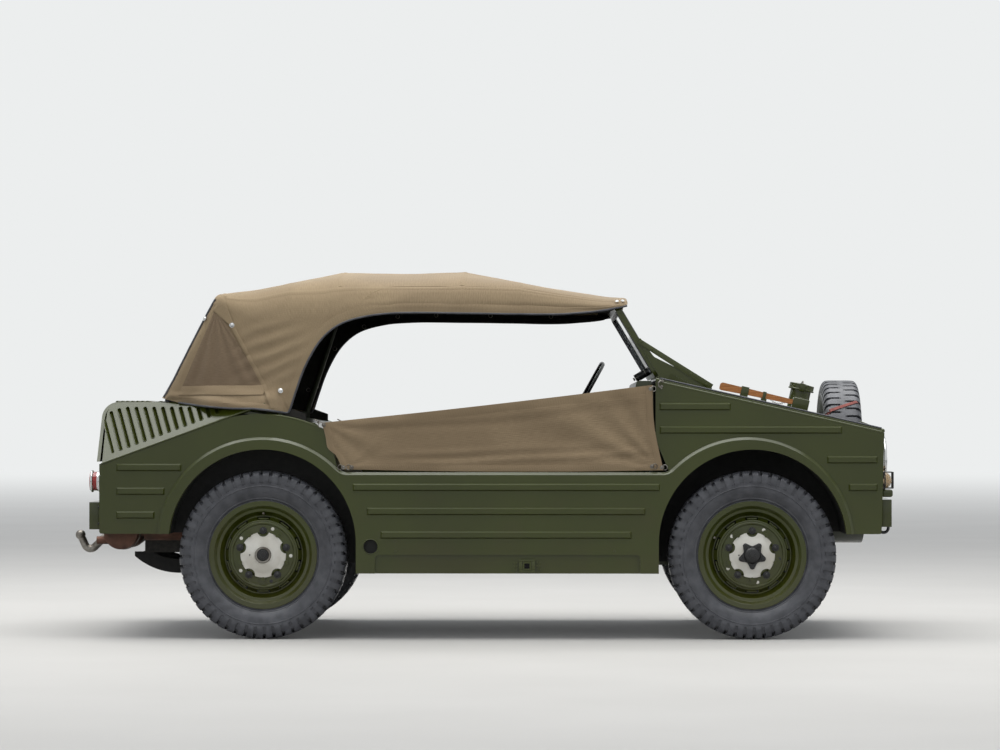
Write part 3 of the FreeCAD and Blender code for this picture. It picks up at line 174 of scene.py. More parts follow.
def makeLens(name, tint, through):
    # moulded glass lens: clear, tinted, ribbed on the inside
    material, tree = startMaterial(name)
    point = addNode(tree, "TexCoord", out="Object")
    ribs = addNode(tree, "TexWave", {"Vector": point, "Scale": 55.0}, out="Fac", bands_direction="Y")
    bump = addNode(tree, "Bump", {"Height": ribs, "Distance": 0.0005})
    endMaterial(tree, {"Base Color": tint, "Roughness": 0.08, "IOR": 1.5, "Transmission Weight": through,
                       "Coat Weight": 0.3, "Normal": bump})
    return material


def makeScreenGlass():
    # flat laminated glass: clear, faint green, a film of dust that only shows close by
    material, tree = startMaterial("flatScreenGlass")
    point = addNode(tree, "TexCoord", out="Object")
    dust = addNode(tree, "TexNoise", {"Vector": point, "Scale": 9.0, "Detail": 6.0})
    film = addNode(tree, "ValToRGB", {"Fac": dust}, stops=[(0.45, 0.0), (0.9, 0.12)])
    endMaterial(tree, {"Base Color": "#f2f7f4", "Roughness": film, "IOR": 1.5, "Transmission Weight": 1.0})
    return material


finish = {
    "armyGreen": makeEnamel("armyGreenEnamel", "#3b420c", "#333909", 0.29, "#423c1a"),
    "armyGreenInner": makeEnamel("armyGreenInnerEnamel", "#363d25", "#2e341f", 0.5),
    "underseal": makePlain("brushedUnderseal", "#1b1b19", "#121211", 0.75, 0, 40, 0.0006),
    "blackEnamel": makePlain("blackStovingEnamel", "#1a1a1b", "#121213", 0.35, 0, 25, 0.0001),
    "drumCream": makePlain("creamDrumEnamel", "#e2dfd4", "#cfcabc", 0.28, 0, 14, 0.0001,
                           {"Coat Weight": 0.25, "Coat Roughness": 0.12}),
    "canvas": makeCanvas("canvasTopDuck", "#a89475", "#958265", "#827159"),
    "curtainCanvas": makeCanvas("canvasCurtainDuck", "#9f8b6e", "#8d7a5f", "#7e6c53"),
    "quarterCanvas": makeCanvas("canvasQuarterDuck", "#8e7b63", "#7d6b55", "#6e5d4a"),
    "windowVinyl": makePlain("smokedWindowVinyl", "#35362f", "#2a2b26", 0.16, 0, 12, 0.0005,
                             {"Coat Weight": 0.4, "Coat Roughness": 0.08}),
    "lining": makePlain("proofedLiningCloth", "#24221d", "#191815", 0.9, 0, 70, 0.0004),
    # rubber lightened from its own near black to a mid grey: partly painted sheen
    "rubber": makePlain("mouldedTyreRubber", "#55565a", "#414246", 0.40, 0, 22, 0.0003, {"Specular IOR Level": 0.4}),
    "bareSteel": makePlain("wornBareSteel", "#8d8a84", "#5d5750", 0.38, 1.0, 35, 0.0003),
    "chrome": makePlain("chromePlate", "#cfd0d0", "#bcbdbd", 0.12, 1.0, 8, 0.00002),
    "rustSteel": makePlain("heatStainedSteel", "#7a5646", "#4e382d", 0.62, 0.35, 14, 0.0006),
    # engine alloy kept near black: painted shade of the dark engine bay
    "castMetal": makePlain("oilyEngineAlloy", "#34322e", "#232220", 0.55, 0.5, 55, 0.0006),
    "webbing": makePlain("fadedRedWebbing", "#9c5a52", "#7e4741", 0.9, 0, 160, 0.0004),
    "bakelite": makePlain("blackBakelite", "#17171a", "#0f0f11", 0.22, 0, 10, 0.00005),
    "seatPiping": makePlain("seatPipingCord", "#3a3829", "#2f2d21", 0.8, 0, 160, 0.0003),
    "seatCloth": makePlain("seatDuckCloth", "#5b5740", "#4b4835", 0.88, 0, 230, 0.0005),
    "matRubber": makePlain("ribbedMatRubber", "#222222", "#181818", 0.7, 0, 50, 0.0003),
    "ash": makeAshWood(),
    "redLens": makeLens("redTailGlass", "#b0150c", 0.15),
    "clearLens": makeLens("clearLampGlass", "#e8e6dc", 0.7),
    "amberLens": makeLens("paleAmberGlass", "#d9b98a", 0.35),
    "glass": makeScreenGlass(),
}
print("finishes made:", len(finish))

cadFinish = {
    "underseal": ["front_wheel_houses", "rear_wheel_houses", "front_axle", "rear_axle", "prop_shaft", "engine_guard",
                  "knuckle_right", "knuckle_left", "track_rod"],
    "armyGreenInner": ["floor_pan", "bulkhead", "rear_bulkhead", "top_bows", "spare_well"],
    "blackEnamel": ["wipers", "steering_column", "floor_levers"],
    "bakelite": ["steering_wheel"],
    "castMetal": ["engine_block"],
    "rustSteel": ["silencer"],
    "bareSteel": ["tow_hook"],
    "glass": ["windscreen_glass"],
    "canvas": ["canopy"],
    "curtainCanvas": ["side_curtains"],
    "seatCloth": ["front_seats", "rear_bench"],
    "ash": ["axe_handle"],
    "chrome": ["headlamps"],
    "amberLens": ["marker_lamps"],
    "redLens": ["tail_lamps"],
}
finishOf = {name: key for key, names in cadFinish.items() for name in names}
for name, piece in cad.items():
    key = finishOf.get(name, "rubber" if name.endswith("_tyre") else "armyGreen")
    piece.data.materials.clear()
    piece.data.materials.append(finish[key])
print("CAD nodes finished")

# each side: its sign along Y and its label
bothSides = ((-1, "right"), (1, "left"))


# modelling helpers

def spread(start, end, steps):
    # even values from start to end, both included
    return [start + (end - start) * number / steps for number in range(steps + 1)]


def clearSelection():
    if bpy.context.object and bpy.context.object.mode != "OBJECT":
        bpy.ops.object.mode_set(mode="OBJECT")
    bpy.ops.object.select_all(action="DESELECT")


def takeUp(piece):
    clearSelection()
    piece.select_set(True)
    bpy.context.view_layer.objects.active = piece


def inEdit(piece, *steps):
    # edit steps, each on the whole of a piece: (what it does, its settings)
    takeUp(piece)
    bpy.ops.object.mode_set(mode="EDIT")
    for step, settings in steps:
        bpy.ops.mesh.select_all(action="SELECT")
        step(**settings)
    bpy.ops.object.mode_set(mode="OBJECT")
    return piece


def settle(piece, name=None, key=None):
    takeUp(piece)
    bpy.ops.object.transform_apply(location=True, rotation=True, scale=True)
    if name:
        piece.name = name
        piece.data.name = name
    if key:
        piece.data.materials.clear()
        piece.data.materials.append(finish[key])
    return piece


def copyOf(piece, name=None, move=None):
    # a copy with a mesh of its own, moved or turned by a matrix
    twin = piece.copy()
    twin.data = piece.data.copy()
    bpy.context.scene.collection.objects.link(twin)
    if name:
        twin.name = name
        twin.data.name = name
    if move:
        twin.data.transform(move)
    return twin


def modify(piece, kind, **settings):
    takeUp(piece)
    step = piece.modifiers.new(kind.lower(), kind)
    for key, value in settings.items():
        setattr(step, key, value)
    bpy.ops.object.modifier_apply(modifier=step.name)
    return piece


def smooth(piece, angle=35):
    takeUp(piece)
    bpy.ops.object.shade_smooth_by_angle(angle=math.radians(angle))
    return piece


def tidyMesh(piece, merge=1e-5):
    return inEdit(piece, (bpy.ops.mesh.remove_doubles, {"threshold": merge}),
                  (bpy.ops.mesh.normals_make_consistent, {"inside": False}))


def joinPieces(pieces, name):
    clearSelection()
    for piece in pieces:
        piece.select_set(True)
    bpy.context.view_layer.objects.active = pieces[0]
    if len(pieces) > 1:
        bpy.ops.object.join()
    joined = bpy.context.object
    joined.name = name
    joined.data.name = name
    return joined


def fitUp(pieces, name, key, body="car_body"):
    # joins pieces into a named one, gives it its finish and the slot of that finish, and rides it on a body
    piece = settle(joinPieces(pieces, name), name, key)
    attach(piece, body)
    return piece


def block(low, high, bevel=0.002, segments=2):
    clearSelection()
    low, high = Vector(low), Vector(high)
    bpy.ops.mesh.primitive_cube_add(size=1, location=(low + high) / 2)
    piece = bpy.context.object
    piece.scale = high - low
    settle(piece)
    if bevel:
        modify(piece, "BEVEL", width=bevel, segments=segments)
    return smooth(piece)


def span(x, y, z, bevel=0.001, segments=2):
    # a block between two values on each axis, given in either order
    return block([min(pair) for pair in (x, y, z)], [max(pair) for pair in (x, y, z)], bevel, segments)


def rod(start, end, radius, sides=24, bevel=0.0, endRadius=None):
    clearSelection()
    start, end = Vector(start), Vector(end)
    form = {"vertices": sides, "depth": (end - start).length, "location": (start + end) / 2,
            "rotation": (end - start).to_track_quat("Z", "Y").to_euler()}
    if endRadius is None:
        bpy.ops.mesh.primitive_cylinder_add(radius=radius, **form)
    else:
        bpy.ops.mesh.primitive_cone_add(radius1=radius, radius2=endRadius, **form)
    piece = settle(bpy.context.object)
    if bevel:
        modify(piece, "BEVEL", width=bevel, segments=2, limit_method="ANGLE", angle_limit=math.radians(40))
    return smooth(piece)


def pin(axis, start, end, radius, sides=16, bevel=0.001):
    # a rod along one axis, from start to where that axis has the value end
    far = list(start)
    far["xyz".index(axis)] = end
    return rod(start, far, radius, sides, bevel)


def ring(place, normal, major, minor, steps=40, sides=10):
    clearSelection()
    turn = Vector(normal).to_track_quat("Z", "Y").to_euler()
    bpy.ops.mesh.primitive_torus_add(major_radius=major, minor_radius=minor, major_segments=steps,
                                     minor_segments=sides, location=place, rotation=turn)
    return smooth(settle(bpy.context.object), 60)


def hexNut(place, radius, depth, bevel):
    # flats across X, standing along Y
    clearSelection()
    bpy.ops.mesh.primitive_cylinder_add(vertices=6, radius=radius, depth=depth, location=place,
                                        rotation=(math.pi / 2, 0, 0))
    return modify(settle(bpy.context.object), "BEVEL", width=bevel, segments=2)


def traceOutline(points, close=False):
    clearSelection()
    points = [Vector(p) for p in points]
    bpy.ops.mesh.primitive_plane_add(size=0.001, location=(0, 0, 0))
    bpy.ops.object.mode_set(mode="EDIT")
    bpy.ops.mesh.select_mode(type="VERT")
    bpy.ops.mesh.select_all(action="SELECT")
    bpy.ops.mesh.merge(type="CENTER")
    bpy.ops.transform.translate(value=points[0])
    for before, after in zip(points, points[1:] + points[:1] * close):
        bpy.ops.mesh.extrude_vertices_move(TRANSFORM_OT_translate={"value": after - before})
    bpy.ops.mesh.select_all(action="SELECT")
    bpy.ops.mesh.remove_doubles(threshold=1e-6)
    bpy.ops.object.mode_set(mode="OBJECT")
    return bpy.context.object


def turnOutline(outline, steps, close=False):
    # (radius, along) pairs turned once round Y
    piece = traceOutline([(radius, along, 0) for radius, along in outline], close)
    turn = {"steps": steps, "angle": 2 * math.pi, "center": (0, 0, 0), "axis": (0, 1, 0)}
    return tidyMesh(inEdit(piece, (bpy.ops.mesh.spin, turn)))


# soft sheets and tubes

def readTable(table, at):
    # smooth reading of rows (at, x, z) by cubic pieces
    last = len(table) - 1
    number = max(0, min(last - 1, sum(1 for row in table if row[0] <= at) - 1))
    low, high = table[number], table[number + 1]
    span = high[0] - low[0]
    share = max(0.0, min(1.0, (at - low[0]) / span))
    result = []
    for column in range(1, len(low)):
        slopes = []
        for here in (number, number + 1):
            before, after = table[max(0, here - 1)], table[min(last, here + 1)]
            slopes.append((after[column] - before[column]) / (after[0] - before[0]) * span)
        a, b = low[column], high[column]
        s2, s3 = share * share, share ** 3
        result.append(a * (2 * s3 - 3 * s2 + 1) + slopes[0] * (s3 - 2 * s2 + share)
                      + b * (3 * s2 - 2 * s3) + slopes[1] * (s3 - s2))
    return result


def fade(low, high, value):
    share = max(0.0, min(1.0, (value - low) / (high - low)))
    return share * share * (3 - 2 * share)


def makeSheet(name, columns, rows, placeOf, outward, foldOf=None, flat=(1.0, 1.0)):
    # a grid laid out as cut cloth, each point moved to its place, then in and out along the cloth's own normal
    clearSelection()
    bpy.ops.mesh.primitive_grid_add(x_subdivisions=columns, y_subdivisions=rows, size=2, location=(0, 0, 0))
    piece = bpy.context.object
    mesh = piece.data
    cuts = [((point.co.x + 1) / 2, (point.co.y + 1) / 2) for point in mesh.vertices]
    for point, (across, along) in zip(mesh.vertices, cuts):
        point.co = placeOf(across, along)
    mesh.update()
    middle = mesh.polygons[len(mesh.polygons) // 2 + columns // 4]
    if middle.normal.dot(outward(middle.center)) < 0:
        inEdit(piece, (bpy.ops.mesh.flip_normals, {}))
        mesh = piece.data
    if foldOf:
        normals = [point.normal.copy() for point in mesh.vertices]
        for point, normal, (across, along) in zip(mesh.vertices, normals, cuts):
            point.co += normal * foldOf(point.co, across, along)
    for loop in mesh.uv_layers.active.data:
        loop.uv = (loop.uv.x * flat[0], loop.uv.y * flat[1])
    mesh.update()
    piece.name = name
    mesh.name = name
    return piece


def sewSheet(piece, key, thick, angle=60, offset=1):
    # gives a finished sheet its cloth, and its thickness on one side
    settle(piece, None, key)
    modify(piece, "SOLIDIFY", thickness=thick, offset=offset)
    return smooth(piece, angle)


def makeTube(points, radius, close=False, sides=4):
    piece = traceOutline(points, close)
    takeUp(piece)
    bpy.ops.object.convert(target="CURVE")
    piece = bpy.context.object
    piece.data.bevel_depth = radius
    piece.data.bevel_resolution = sides
    piece.data.use_fill_caps = not close
    bpy.ops.object.convert(target="MESH")
    return smooth(tidyMesh(settle(bpy.context.object), 1e-6), 60)


# pale floor and soft light

studio = {"floorSize": 400.0, "backColour": "#eceeee", "zenith": 0.26, "horizon": 1.98, "skyFrom": -0.05, "skyTo": 0.75,
          "bounce": "#5c5850", "floorFades": (4.0, 46.0), "aim": (0, 0, 0.8),
          "softBoxes": [((-0.3, -0.9, 8.0), (13.0, 6.4), 640.0, True), ((-0.3, 3.6, 8.0), (13.0, 2.0), 210.0, True),
                        ((-0.3, 0.3, 7.9), (13.0, 4.4), 460.0, False)]}
clearSelection()
bpy.ops.mesh.primitive_plane_add(size=studio["floorSize"], location=(0, 0, 0))
floor = settle(bpy.context.object, "floor")

# floor paint: matt and pale, so that it keeps the shadow and meets the backdrop without a line
floorMaterial, floorTree = startMaterial("matFloorPaint")
floorPoint = addNode(floorTree, "TexCoord", out="Object")
distance = addNode(floorTree, "VectorMath", {0: floorPoint}, out="Value", operation="LENGTH")
fading = {"Value": distance, "From Min": studio["floorFades"][0], "From Max": studio["floorFades"][1]}
farShare = addNode(floorTree, "MapRange", fading, interpolation_type="SMOOTHSTEP")
clouds = addNode(floorTree, "TexNoise", {"Vector": floorPoint, "Scale": 0.8, "Detail": 3.0})
floorColour = addNode(floorTree, "ValToRGB", {"Fac": clouds}, stops=[(0.3, "#cbc9c4"), (0.7, "#d0cec9")])
# what the floor throws back up at the car is that of paving, so the undersides stay dark
floorPath = addNode(floorTree, "LightPath", out="Is Camera Ray")
bounced = addNode(floorTree, "LightPath", out="Is Diffuse Ray")
floorColour = addNode(floorTree, "MixRGB", {"Fac": bounced, "Color1": floorColour, "Color2": studio["bounce"]})
matt = addNode(floorTree, "BsdfPrincipled", {"Base Color": floorColour, "Roughness": 0.8, "Specular IOR Level": 0.1})
glow = addNode(floorTree, "Emission", {"Color": studio["backColour"], "Strength": 1.0})
seenFar = addNode(floorTree, "Math", {0: floorPath, 1: farShare}, operation="MULTIPLY")
addNode(floorTree, "OutputMaterial", {"Surface": addNode(floorTree, "MixShader", {0: seenFar, 1: matt, 2: glow})})
floor.data.materials.append(floorMaterial)

# world: for light it is brighter round the horizon than overhead, where the soft boxes are; where it is seen, in
# glass and in shiny paint too, it is the plain backdrop
world = bpy.data.worlds.new("studio")
bpy.context.scene.world = world
world.use_nodes = True
sky = world.node_tree
sky.nodes.clear()
seen = addNode(sky, "LightPath", out="Is Camera Ray")
through = addNode(sky, "LightPath", out="Is Transmission Ray")
shiny = addNode(sky, "LightPath", out="Is Glossy Ray")
seen = addNode(sky, "Math", {0: seen, 1: through}, operation="MAXIMUM")
seen = addNode(sky, "Math", {0: seen, 1: shiny}, operation="MAXIMUM")
height = addNode(sky, "SeparateXYZ", {"Vector": addNode(sky, "TexCoord", out="Generated")}, out="Z")
level = addNode(sky, "MapRange", {"Value": height, "From Min": studio["skyFrom"], "From Max": studio["skyTo"],
                                  "To Min": studio["horizon"], "To Max": studio["zenith"]})
lighting = addNode(sky, "Background", {"Color": "#f4f8ff", "Strength": level})
backdrop = addNode(sky, "Background", {"Color": studio["backColour"], "Strength": 1.0})
addNode(sky, "OutputWorld", {"Surface": addNode(sky, "MixShader", {0: seen, 1: lighting, 2: backdrop})})

# soft boxes over the near and the far side; the last one lights no matt surface, and only puts the bright lines on
# upturned edges of glossy paint
for number, (place, size, power, lightsMatt) in enumerate(studio["softBoxes"]):
    bpy.ops.object.light_add(type="AREA", location=place)
    lamp = bpy.context.object
    lamp.name = "softBox" + str(number)
    lamp.data.shape = "RECTANGLE"
    lamp.data.size, lamp.data.size_y = size
    lamp.data.energy = power
    lamp.visible_diffuse = lightsMatt
    lamp.rotation_euler = (Vector(studio["aim"]) - Vector(place)).to_track_quat("-Z", "Y").to_euler()
bpy.context.scene.view_settings.view_transform = "Standard"
print("stage set")


# tyres: bar tread, each bar one pitch long and the left row half a pitch behind the right

tyre = {"pitches": 52, "columns": 8, "centreRib": 0.013, "tread": 0.056, "treadFrom": 0.34,
        "carves": ((0.303, 0.005), (0.333, 0.0075)), "gapShare": 0.26, "shoulderGapShare": 0.38,
        "section": [(0.2034, 0.0494), (0.2110, 0.0512), (0.2200, 0.0524), (0.2320, 0.0535), (0.2370, 0.0590),
                    (0.2395, 0.0600), (0.2420, 0.0595), (0.2500, 0.0650), (0.2600, 0.0712), (0.2700, 0.0758),
                    (0.2800, 0.0787), (0.2875, 0.0796), (0.2890, 0.0815), (0.2915, 0.0818), (0.2932, 0.0803),
                    (0.2980, 0.0806), (0.3030, 0.0808), (0.3060, 0.0816), (0.3140, 0.0812), (0.3230, 0.0798),
                    (0.3330, 0.0772), (0.3410, 0.0736), (0.3475, 0.0682), (0.3517, 0.0617), (0.3532, 0.0540),
                    (0.3538, 0.0440), (0.3540, 0.0300), (0.3540, 0.0140)]}


def carveBars(piece):
    # pushes the gaps between the bars in: first from the foot of the bars outward, then from the shoulder
    pitch = 2 * math.pi / tyre["pitches"]
    takeUp(piece)
    for floorRadius, depth in tyre["carves"]:
        for face in piece.data.polygons:
            centre = face.center
            radius = math.hypot(centre.x, centre.z)
            turn = (math.atan2(centre.z, centre.x) / pitch + (0.5 if centre.y > 0 else 0)) % 1
            onTread = abs(centre.y) < tyre["tread"] and radius > tyre["treadFrom"]
            width = tyre["gapShare"] if onTread else tyre["shoulderGapShare"]
            level = abs(face.normal.dot(Vector((-centre.z, 0, centre.x)).normalized())) < 0.5
            face.select = radius > floorRadius and abs(centre.y) > tyre["centreRib"] and turn < width and level
        for part in [*piece.data.edges, *piece.data.vertices]:
            part.select = False
        bpy.ops.object.mode_set(mode="EDIT")
        bpy.ops.mesh.select_mode(type="FACE")
        bpy.ops.mesh.extrude_region_shrink_fatten(TRANSFORM_OT_shrink_fatten={"value": -depth})
        bpy.ops.object.mode_set(mode="OBJECT")
    return piece


def centreOf(nodeName):
    low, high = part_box(nodeName)
    return (low + high) / 2


def standAt(centre, turn):
    # a hub's place, turned about the upright
    return Matrix.Translation(centre) @ Matrix.Rotation(math.radians(turn), 4, "Z")


half = tyre["section"]
outline = [(radius, -out) for radius, out in half] + [(radius, out) for radius, out in reversed(half)]
masterTyre = carveBars(turnOutline(outline, tyre["pitches"] * tyre["columns"], close=True))
smooth(settle(masterTyre, "masterTyre", "rubber"), 32)
print("tyre made:", len(masterTyre.data.polygons), "faces")

wheels = [("rear", "right", 0), ("rear", "left", 180), ("front", "right", 0), ("front", "left", 180)]
tyres = [(end + "_" + side + "_tread_tyre", end + "_" + side + "_tyre", turn, end + "_" + side + "_wheel")
         for end, side, turn in wheels]
for name, nodeName, turn, body in tyres + [("spare_tread_tyre", "spare_tyre", 90, "car_body")]:
    made = copyOf(masterTyre, name, standAt(centreOf(nodeName), turn))
    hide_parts(nodeName)
    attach(made, body)
bpy.data.objects.remove(masterTyre)


# wheels: modelled on the right-hand side about the hub, street side towards -Y

wheel = {"stud": 0.1025, "studs": spread(18, 306, 4), "tips": spread(54, 342, 4), "bolt": 0.0155,
         "ventCircle": 0.1525, "vents": 10, "lipLength": 0.044, "lip": 0.0046, "notch": 0.0258, "dotCircle": 0.116,
         "dot": 0.0075, "valveCircle": 0.175, "valve": {"rear": 90, "front": 155},
         # hole: where a black dot stands for the open hole in the wheel, painted shade
         "dots": {"rear": (70, 143, -2, 215), "front": (65, 137, 209, 281)}, "hole": {"rear": 287, "front": -8},
         "ring": [(0.1270, -0.0436), (0.1290, -0.0462), (0.1320, -0.0482), (0.1360, -0.0485), (0.1395, -0.0468),
                  (0.1420, -0.0428)],
         "plate": [(0.0965, -0.0440), (0.0960, -0.0490), (0.0945, -0.0508), (0.0800, -0.0514), (0.0765, -0.0520),
                   (0.0700, -0.0545), (0.0560, -0.0572), (0.0400, -0.0585), (0.0345, -0.0590), (0.0345, -0.0470),
                   (0.0900, -0.0440)],
         "capRing": [(0.0345, -0.0560), (0.0345, -0.0655), (0.0325, -0.0680), (0.0290, -0.0685), (0.0262, -0.0672),
                     (0.0255, -0.0640), (0.0255, -0.0560)],
         "castleNut": [(0.0250, -0.0600), (0.0245, -0.0640), (0.0210, -0.0652), (0.0205, -0.0700), (0.0175, -0.0715),
                       (0.0110, -0.0710), (0.0105, -0.0735), (0.0, -0.0740), (0.0, -0.0600)],
         "dome": [(0.0360, -0.0600), (0.0360, -0.0665), (0.0330, -0.0710), (0.0280, -0.0755), (0.0200, -0.0790),
                  (0.0125, -0.0800), (0.0120, -0.0835), (0.0100, -0.0845), (0.0, -0.0848), (0.0, -0.0600)],
         "starArm": [(0.0575, -8), (0.0600, 0), (0.0575, 8), (0.0420, 25), (0.0385, 36), (0.0420, 47)],
         "starFace": -0.0565, "starDeep": 0.0085, "starBolt": 0.0490}


def aroundHub(radius, along, degrees):
    angle = math.radians(degrees)
    return Vector((radius * math.cos(angle), along, radius * math.sin(angle)))


def turnedCopy(piece, degrees):
    return copyOf(piece, None, Matrix.Rotation(-math.radians(degrees), 4, "Y"))


def hubRod(circle, near, far, degrees, radius, sides, bevel=0.0, endRadius=None):
    return rod(aroundHub(circle, near, degrees), aroundHub(circle, far, degrees), radius, sides, bevel, endRadius)


def dotAt(degrees):
    return hubRod(wheel["dotCircle"], -0.0430, -0.0458, degrees, wheel["dot"], 20, 0.0010)


def cutAway(piece, cutters, name):
    cutter = joinPieces(cutters, name)
    modify(piece, "BOOLEAN", object=cutter, operation="DIFFERENCE", solver="EXACT")
    bpy.data.objects.remove(cutter)
    return piece


def makeBolt():
    # seat, nut and the stud's domed tip
    at, tipAlong = wheel["stud"], -0.0622
    seat = pin("y", (at, -0.0440, 0), -0.0520, wheel["bolt"], 24, 0.0015)
    nut = hexNut((at, -0.0575, 0), 0.0122, 0.012, 0.0018)
    clearSelection()
    bpy.ops.mesh.primitive_uv_sphere_add(segments=18, ring_count=10, radius=0.0085, location=(at, tipAlong, 0))
    tip = settle(bpy.context.object)
    centre = Matrix.Translation((0, tipAlong, 0))
    tip.data.transform(centre @ Matrix.Diagonal((1, 0.55, 1, 1)) @ centre.inverted())
    return smooth(joinPieces([seat, nut, tip], "bolt"), 40)


def makeVentLip():
    at, half = wheel["ventCircle"], wheel["lipLength"] / 2
    bar = pin("z", (at, -0.0305, -half), half, wheel["lip"], 14, 0.0030)
    return smooth(modify(bar, "SUBSURF", levels=1, render_levels=1), 60)


def makePlate():
    plate = turnOutline(wheel["plate"], 100, close=True)
    notches = [hubRod(wheel["stud"], -0.03, -0.08, degrees, wheel["notch"], 36) for degrees in wheel["studs"]]
    cutAway(plate, notches, "notchCutter")
    modify(plate, "BEVEL", width=0.0012, segments=2, limit_method="ANGLE", angle_limit=math.radians(50))
    return smooth(plate, 40)


boltMaster = makeBolt()
boltSet = joinPieces([turnedCopy(boltMaster, degrees) for degrees in wheel["studs"]], "boltSet")
lipMaster = makeVentLip()
lipSet = [turnedCopy(lipMaster, 18 + 36 * number) for number in range(wheel["vents"])]
faceRing = smooth(turnOutline(wheel["ring"], 96), 60)
modify(faceRing, "SOLIDIFY", thickness=0.0012, offset=-1)
faceSet = joinPieces(lipSet + [faceRing], "faceSet")
plateMaster = makePlate()
for spent in (boltMaster, lipMaster):
    bpy.data.objects.remove(spent)
print("wheel masters made")


def makeValve(degrees):
    stem = hubRod(wheel["valveCircle"], -0.022, -0.050, degrees, 0.0040, 14, 0.0008)
    boot = hubRod(wheel["valveCircle"], -0.018, -0.032, degrees, 0.0075, 18, 0.0020, 0.0055)
    return [stem, boot]


def makeRearHub():
    # grease cap ring, and the castle nut in it with its split pin
    capRing = smooth(turnOutline(wheel["capRing"], 48, close=True), 40)
    nut = smooth(turnOutline(wheel["castleNut"], 48, close=True))
    slot = block((0.0145, -0.080, -0.0028), (0.026, -0.0668, 0.0028), 0)
    cutAway(nut, [turnedCopy(slot, number * 60) for number in range(6)], "slotCutter")
    bpy.data.objects.remove(slot)
    splitPin = rod((-0.015, -0.0690, 0.0), (0.020, -0.0690, 0.004), 0.0022, 10, 0.0006)
    return capRing, smooth(joinPieces([nut, splitPin], "hubNut"))


def makeFrontHub():
    # driving flange: five-armed star with a bolt on each tip, and a domed cap
    points = [aroundHub(radius, wheel["starFace"], middle + turn) for middle in wheel["tips"]
              for radius, turn in wheel["starArm"]]
    raised = {"TRANSFORM_OT_translate": {"value": (0, -wheel["starDeep"], 0)}}
    star = inEdit(traceOutline(points, close=True), (bpy.ops.mesh.edge_face_add, {}),
                  (bpy.ops.mesh.extrude_region_move, raised))
    tidyMesh(star)
    modify(star, "BEVEL", width=0.0022, segments=3, limit_method="ANGLE", angle_limit=math.radians(50))
    bolts = [hexNut(aroundHub(wheel["starBolt"], -0.0680, middle), 0.0072, 0.008, 0.0010) for middle in wheel["tips"]]
    dome = turnOutline(wheel["dome"], 40, close=True)
    return smooth(joinPieces([star, dome] + bolts, "hubStar"))


def finishWheel(end, side, turn):
    name = end + "_" + side + "_"
    place = standAt(centreOf(name + "tyre"), turn)

    def stand(pieces, label, key):
        piece = joinPieces(pieces, label)
        piece.data.transform(place)
        fitUp([piece], name + label, key, name + "wheel")

    stand([copyOf(faceSet)], "vent_lips", "armyGreen")
    stand([copyOf(boltSet)], "wheel_bolts", "blackEnamel")
    stand([copyOf(plateMaster)] + [dotAt(degrees) for degrees in wheel["dots"][end]], "drum_plate", "drumCream")
    # black dots standing in for the open holes in the wheel: painted shade
    holeShadeDots = [dotAt(wheel["hole"][end]), hubRod(0.056, -0.0545, -0.0590, 180, 0.0030, 12, 0.0006)]
    if end == "rear":
        capRing, nut = makeRearHub()
        stand([capRing], "hub_ring", "bareSteel")
        stand([nut] + holeShadeDots, "hub_nut", "blackEnamel")
    else:
        stand([makeFrontHub()] + holeShadeDots, "hub_flange", "blackEnamel")
    stand(makeValve(wheel["valve"][end]), "valve", "bareSteel")


for end, side, turn in wheels:
    finishWheel(end, side, turn)
for spent in (boltSet, faceSet, plateMaster):
    bpy.data.objects.remove(spent)
print("wheels finished")


# canvas top: one cloth from the rear deck over the bows to the windscreen, laid out along v, across u

canopyCut = {
    "columns": 132, "rows": 150, "flat": (2.62, 2.50), "roofShare": 0.42, "cornerShare": 0.60, "crown": 1.512,
    "rearRound": 0.045, "roofRound": 0.15, "roofFrom": (0.30, 0.42),
    "ridge": [(0.00, -1.321, 1.020), (0.10, -1.246, 1.161), (0.20, -1.168, 1.304), (0.275, -1.109, 1.411),
              (0.300, -1.091, 1.443), (0.320, -1.075, 1.458), (0.345, -1.050, 1.466), (0.45, -0.850, 1.512),
              (0.54, -0.655, 1.553), (0.575, -0.580, 1.567), (0.61, -0.500, 1.569), (0.72, -0.075, 1.569),
              (0.745, -0.005, 1.564), (0.85, 0.340, 1.500), (0.93, 0.560, 1.461), (0.985, 0.650, 1.452),
              (1.00, 0.6585, 1.444)],
    "hem": [(0.00, -1.245, 0.995), (0.10, -1.135, 0.981), (0.20, -1.015, 0.9720), (0.275, -0.918, 0.9700),
            (0.320, -0.845, 0.962), (0.345, -0.800, 0.955), (0.362, -0.778, 0.953), (0.376, -0.768, 0.966),
            (0.42, -0.742, 1.045), (0.47, -0.703, 1.150), (0.52, -0.640, 1.258), (0.56, -0.560, 1.326),
            (0.61, -0.440, 1.362), (0.66, -0.300, 1.374), (0.75, 0.000, 1.372), (0.85, 0.350, 1.368),
            (0.90, 0.470, 1.375), (0.94, 0.560, 1.385), (0.985, 0.640, 1.4025), (1.00, 0.6545, 1.4060)],
    "plan": [(-1.32, 0.656), (-1.10, 0.720), (-0.985, 0.7465), (-0.85, 0.7500), (0.10, 0.7395), (0.70, 0.7215)],
    "bows": (-1.045, -0.585, -0.045, 0.640)}


def canopyHalf(x, z):
    # half width at a place on the side, by the plan and the lean of the sides; the foot flares over the louvres
    table = canopyCut["plan"]
    half = table[-1][1]
    for (x0, y0), (x1, y1) in zip(table, table[1:]):
        if x <= x1:
            share = max(0.0, (x - x0) / (x1 - x0))
            half = y0 + (y1 - y0) * share
            break
    lean = 0.7525 - 0.028 * (z - 0.5) / 1.012
    gap = half - lean
    flare = fade(-1.20, -1.10, x) * (1 - fade(-0.85, -0.785, x)) * (1 - fade(0.985, 1.075, z))
    return min(half, lean) - 0.004 * math.exp(-(gap / 0.006) ** 2) + 0.048 * flare


